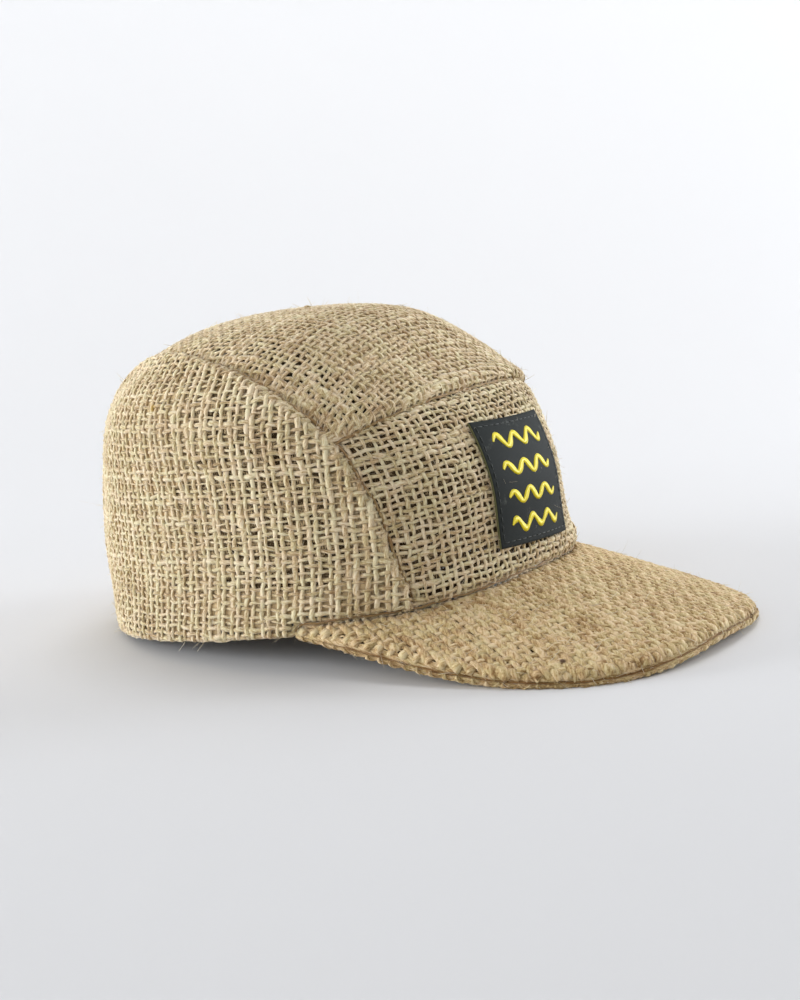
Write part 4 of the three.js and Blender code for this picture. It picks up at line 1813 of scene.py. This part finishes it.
class CAP_OT_patch(bpy.types.Operator):
    """Sew the dark patch to the front panel, with its stitches and its painted waves"""

    bl_idname = "cap.patch"
    bl_label = "Patch"

    def execute(self, context):
        patch = context.scene.cap_patch
        half, columns, rows = patch.width / 2, 40, 44
        bpy.ops.object.select_all(action="DESELECT")
        bpy.ops.mesh.primitive_grid_add(x_subdivisions=columns, y_subdivisions=rows, size=2)
        piece = context.object
        piece.name = piece.data.name = "front_patch"
        unit_square = np.array([v.co for v in piece.data.vertices])
        half_height = (patch.top - patch.bottom) / 2
        x, height = on_patch(patch, unit_square[:, 0] * half, unit_square[:, 1] * half_height)
        points, _ = patch_point(x, height, PATCH_CLEARANCE)
        piece.data.vertices.foreach_set("co", to_world(points).astype(np.float32).ravel())
        piece.data.update()
        thick = piece.modifiers.new("thickness", "SOLIDIFY")
        thick.thickness, thick.offset = patch.thickness * SEWN_SHARE, 1
        soft = piece.modifiers.new("cut edge", "BEVEL")
        soft.width, soft.segments, soft.angle_limit = 0.25 * MM, 2, math.radians(50)
        for name in ("thickness", "cut edge"):
            bpy.ops.object.modifier_apply(modifier=name)
        bpy.ops.object.shade_smooth_by_angle(angle=math.radians(35))
        self.mark_cut_edge(piece)
        finish_piece(piece, patch_material(patch), "patch", "front_label")
        upright = np.linspace(-1, 1, rows) * half_height
        spine, _ = patch_point(*on_patch(patch, np.zeros(rows), upright), PATCH_CLEARANCE)
        tall = float(distance_along(spine)[-1])
        self.stitch(patch)
        self.paint(patch)
        return {"FINISHED"}

    def mark_cut_edge(self, piece):
        """Marks the faces of the patch's thin sides, which show its cut edge."""
        mesh = piece.data
        mark = mesh.attributes.new("cut_edge", "FLOAT", "FACE")
        facing = read(mesh.polygons, "normal")
        skin = outer_skin()
        middles = read(mesh.polygons, "center")
        skin_facing = np.array([skin.nearest(Vector(from_world(p)))[1] for p in middles])
        turned = to_world(skin_facing) - to_world(np.zeros(3))
        square_on = abs((facing * turned).sum(-1))
        mark.data.foreach_set("value", (square_on < 0.5).astype(np.float32))

    def stitch(self, patch):
        """Lays the small stitches round the patch, inside its edge."""
        inset, stitch, gap, thick, rings = 2.2 * MM, 2.6 * MM, 0.9 * MM, 0.42 * MM, 7
        right, high = patch.width / 2 - inset, (patch.top - patch.bottom) / 2 - inset
        corners = [(-right, -high), (right, -high), (right, high), (-right, high), (-right, -high)]
        thread = Cloth()
        rng = np.random.default_rng(71)
        stand = PATCH_CLEARANCE + patch.thickness * SEWN_SHARE
        for (x0, z0), (x1, z1) in zip(corners[:-1], corners[1:]):
            length = math.hypot(x1 - x0, z1 - z0)
            count = round(length / (stitch + gap))
            for k in range(count):
                share = (np.linspace(0, 1, rings) * stitch / (stitch + gap) + k) / count
                bow = 0.16 * MM * np.sin(np.linspace(0, math.pi, rings)) - 0.05 * MM
                x, z = on_patch(patch, x0 + (x1 - x0) * share, z0 + (z1 - z0) * share)
                points, up = patch_point(x, z, 0)
                line = points + up * (stand + bow + rng.normal(0, 0.01 * MM))[:, None]
                size = np.full(rings, thick)
                thread.add(line, up, size, size * 0.8, rng.normal(0, 1))
        piece = thread.build("patch_stitches")
        finish_piece(piece, plain_material("patch_thread", (0.020, 0.024, 0.020), 0.5, 3000, 0.4), "patch")

    def paint(self, patch):
        """Paints the four plain waves on the patch's face."""
        paint = Cloth()
        rng = np.random.default_rng(73)
        stand = PATCH_CLEARANCE + patch.thickness * SEWN_SHARE
        for stroke in STROKES:
            share = np.linspace(0, 1, 100)
            turn = 2 * math.pi * STROKE_WAVES * share
            swing = STROKE_SWING * (1 + 0.10 * np.sin(9 * share + stroke["lean"]))
            upwards = stroke["height"] * MM + swing * np.sin(turn)
            x, z = on_patch(patch, STROKE_HALF * (2 * share - 1), upwards)
            points, up = patch_point(x, z, 0)
            line = points + up * (stand + 0.02 * MM)
            press = 1 + 0.2 * np.sin(2 * turn + rng.uniform(0, 6))
            width = STROKE_WIDTH * press * np.minimum(1, 0.35 + 12 * np.minimum(share, 1 - share))
            paint.add(line, up, width, np.full(len(line), 0.22 * MM), 0)
        piece = paint.build("patch_paint")
        finish_piece(piece, plain_material("patch_paint", patch.paint, 0.45, 900, 0.12), "patch")


# Loose fibres


# How many of the loose fibres still lie along their yarn, and how many of them each piece has
LYING_SHARE = 0.55
FIBRE_SHARES = [
    {"piece": "side_cloth_right", "share": 0.20},
    {"piece": "side_cloth_left", "share": 0.16},
    {"piece": "top_cloth", "share": 0.26},
    {"piece": "front_cloth", "share": 0.10},
    {"piece": "peak_upper_cover", "share": 0.18},
    {"piece": "peak_lower_cover", "share": 0.10},
]


class CAP_OT_fibres(bpy.types.Operator):
    """Scatter loose jute fibres that stand off the yarns"""

    bl_idname = "cap.fibres"
    bl_label = "Loose fibres"

    def execute(self, context):
        settings, cloth = context.scene.cap_fibres, context.scene.cap_cloth
        rng = np.random.default_rng(81)
        fuzz = Cloth(sides=3)
        for row in FIBRE_SHARES:
            mesh = bpy.data.objects[row["piece"]].data
            places, facing = read(mesh.vertices, "co"), read(mesh.vertex_normals, "vector")
            count = int(settings.count * row["share"])
            for k in rng.choice(len(places) - Cloth.SIDES, count, replace=False):
                if rng.random() < LYING_SHARE:
                    along = places[k + Cloth.SIDES] - places[k]
                    self.strand(fuzz, rng, settings, places[k], facing[k], along)
                else:
                    self.fibre(fuzz, rng, settings, places[k], facing[k])
        piece = fuzz.build("loose_fibres", placed=lambda points: points)
        material = plain_material("loose_fibre", tuple(c * 0.85 for c in cloth.pale_straw), 0.8, 400, 0.25)
        finish_piece(piece, material, "burlap")
        return {"FINISHED"}

    def strand(self, fuzz, rng, settings, place, facing, along):
        """A fibre that has come loose but still lies along its yarn."""
        length = settings.length * rng.uniform(0.8, 1.9)
        heading = unit(along + rng.normal(size=3) * 0.25 * np.linalg.norm(along))
        heading = unit(heading - facing * (heading @ facing))
        share = np.linspace(0, 1, 3)[:, None]
        bow = rng.uniform(0.1, 0.45) * MM * 4 * share * (1 - share)
        line = place + heading * length * share + facing * bow
        size = 2 * settings.radius * np.array([0.8, 1.2, 0.6]) * rng.uniform(0.8, 1.7)
        fuzz.add(line, np.tile(facing, (3, 1)), size, size, rng.normal(0, 1))

    def fibre(self, fuzz, rng, settings, place, facing):
        """A fibre that stands off the cloth."""
        length = settings.length * 0.7 * rng.lognormal(0, 0.35)
        aside = unit(np.cross(facing, rng.normal(size=3)))
        heading = unit(facing * rng.uniform(0.05, 0.9) + aside)
        bend = rng.normal(size=3) * 0.5 - facing * 0.15
        share = np.linspace(0, 1, 4)[:, None]
        line = place + length * (heading * share + bend * share**2 * 0.6)
        size = 2 * settings.radius * np.linspace(0.9, 0.35, 4) * rng.uniform(0.6, 1.2)
        fuzz.add(line, np.tile(facing, (4, 1)), size, size, rng.normal(0, 1))


# The stage


COOL = (0.92, 0.96, 1.0)
WHITE = (1.0, 1.0, 1.0)
CAP_MIDDLE = (0, 0, 0.06)
WALL_MIDDLE = (1.3, 0.6, 0.35)

# Places and sizes in metres, power in watts
LIGHTS = [
    dict(name="key_light", place=(-0.95, 1.45, 0.1), target=CAP_MIDDLE, size=1.1, power=51, colour=COOL),
    dict(name="fill_light", place=(-1.5, -0.3, 0.9), target=CAP_MIDDLE, size=1.2, power=5.9, colour=WHITE),
    dict(name="rim_light", place=(1.25, -0.85, 0.3), target=CAP_MIDDLE, size=0.9, power=22, colour=COOL),
    dict(name="wall_light", place=(0.6, 0.2, 1.8), target=WALL_MIDDLE, size=1.2, power=17, colour=WHITE),
]


def look_matrix(place, backward, upward):
    """A camera's or a light's matrix from its place, the way behind it and the way up."""
    side = upward.cross(backward).normalized()
    rows = (side, backward.cross(side), backward)
    matrix = Matrix(rows).transposed().to_4x4()
    matrix.translation = place
    return matrix


class CAP_OT_stage(bpy.types.Operator):
    """Set the camera at the photograph's angle, a pale floor and soft studio light"""

    bl_idname = "cap.stage"
    bl_label = "Stage"

    def execute(self, context):
        self.camera(context, context.scene.cap_stage)
        self.backdrop(context.scene.cap_stage)
        for lamp in LIGHTS:
            self.light(lamp)
        world = bpy.data.worlds.new("studio")
        world.use_nodes = True
        sky = world.node_tree.nodes["Background"]
        sky.inputs["Color"].default_value = (1, 1, 1, 1)
        sky.inputs["Strength"].default_value = 0.4
        context.scene.world = world
        context.scene.view_settings.view_transform = "Standard"
        return {"FINISHED"}

    def camera(self, context, stage):
        """Sets the camera where the photograph was taken from."""
        azimuth, elevation, roll = stage.azimuth, stage.elevation, stage.roll
        level = math.cos(elevation)
        backward = Vector((-math.sin(azimuth) * level, -math.cos(azimuth) * level, math.sin(elevation)))
        right = Vector((math.cos(azimuth), -math.sin(azimuth), 0))
        upward = backward.cross(right)
        rolled_right = right * math.cos(roll) + upward * math.sin(roll)
        rolled_up = upward * math.cos(roll) - right * math.sin(roll)
        place = rolled_right * stage.aside + rolled_up * stage.below + backward * stage.distance
        origin = Vector(to_world(np.zeros(3)))
        turned = [Vector(to_world(np.array(v))) - origin for v in (backward, rolled_up)]
        data = bpy.data.cameras.new("camera")
        data.lens = stage.lens
        data.clip_start = 0.01
        camera = add_object("camera", data)
        camera.matrix_world = look_matrix(Vector(to_world(np.array(place))), *turned)
        context.scene.camera = camera

    def backdrop(self, stage):
        """A pale floor that sweeps up behind the cap, square to the camera."""
        back = Vector((math.sin(stage.azimuth), math.cos(stage.azimuth), 0))
        side = Vector((back.y, -back.x, 0))
        start, radius, wall, near, half = 0.32, 0.9, 2.6, 2.5, 3.0
        bend = [math.pi / 2 * k / 24 for k in range(25)]
        course = [(-near, 0.0), *((start + radius * math.sin(t), radius * (1 - math.cos(t))) for t in bend)]
        course.append((start + radius, wall))
        points = [back * away + UP * height + side * end for away, height in course for end in (-half, half)]
        faces = [(2 * k, 2 * k + 1, 2 * k + 3, 2 * k + 2) for k in range(len(course) - 1)]
        mesh = bpy.data.meshes.new("backdrop")
        mesh.from_pydata(points, [], faces)
        mesh.polygons.foreach_set("use_smooth", [True] * len(faces))
        backdrop = add_object("backdrop", mesh)
        mesh.materials.append(plain_material("paper", stage.floor, 0.9, 3, 0.01))

    def light(self, lamp):
        """A round soft light from one row of the table, turned to its target."""
        data = bpy.data.lights.new(lamp["name"], "AREA")
        data.shape, data.size = "DISK", lamp["size"]
        data.energy, data.color = lamp["power"], lamp["colour"]
        place, target = Vector(lamp["place"]), Vector(lamp["target"])
        add_object(lamp["name"], data).matrix_world = look_matrix(place, (place - target).normalized(), UP)


class CAP_PT_panel(bpy.types.Panel):
    """Lists the steps that make the cap"""

    bl_idname = "CAP_PT_panel"
    bl_label = "Jute cap"
    bl_space_type = "VIEW_3D"
    bl_region_type = "UI"
    bl_category = "Jute cap"

    def draw(self, context):
        for operator in STEPS:
            self.layout.operator(operator.bl_idname)


SETTINGS = {
    "cap_cloth": ClothSettings,
    "cap_peak": PeakSettings,
    "cap_patch": PatchSettings,
    "cap_fibres": FibreSettings,
    "cap_stage": StageSettings,
}
STEPS = (
    CAP_OT_stage,
    CAP_OT_side_panels,
    CAP_OT_top_panel,
    CAP_OT_front_panel,
    CAP_OT_hem,
    CAP_OT_allowances,
    CAP_OT_peak,
    CAP_OT_patch,
    CAP_OT_fibres,
)
CLASSES = (*SETTINGS.values(), *STEPS, CAP_PT_panel)


def register():
    """Adds the settings, operators and panel."""
    for made in CLASSES:
        bpy.utils.register_class(made)
    for name, settings in SETTINGS.items():
        setattr(bpy.types.Scene, name, PointerProperty(type=settings))


def unregister():
    """Takes them away again."""
    for name in SETTINGS:
        delattr(bpy.types.Scene, name)
    for made in reversed(CLASSES):
        bpy.utils.unregister_class(made)


def main():
    """Makes the cap step by step."""
    register()
    for step in STEPS:
        getattr(bpy.ops.cap, step.bl_idname.split(".")[1])()


if __name__ == "__main__":
    main()
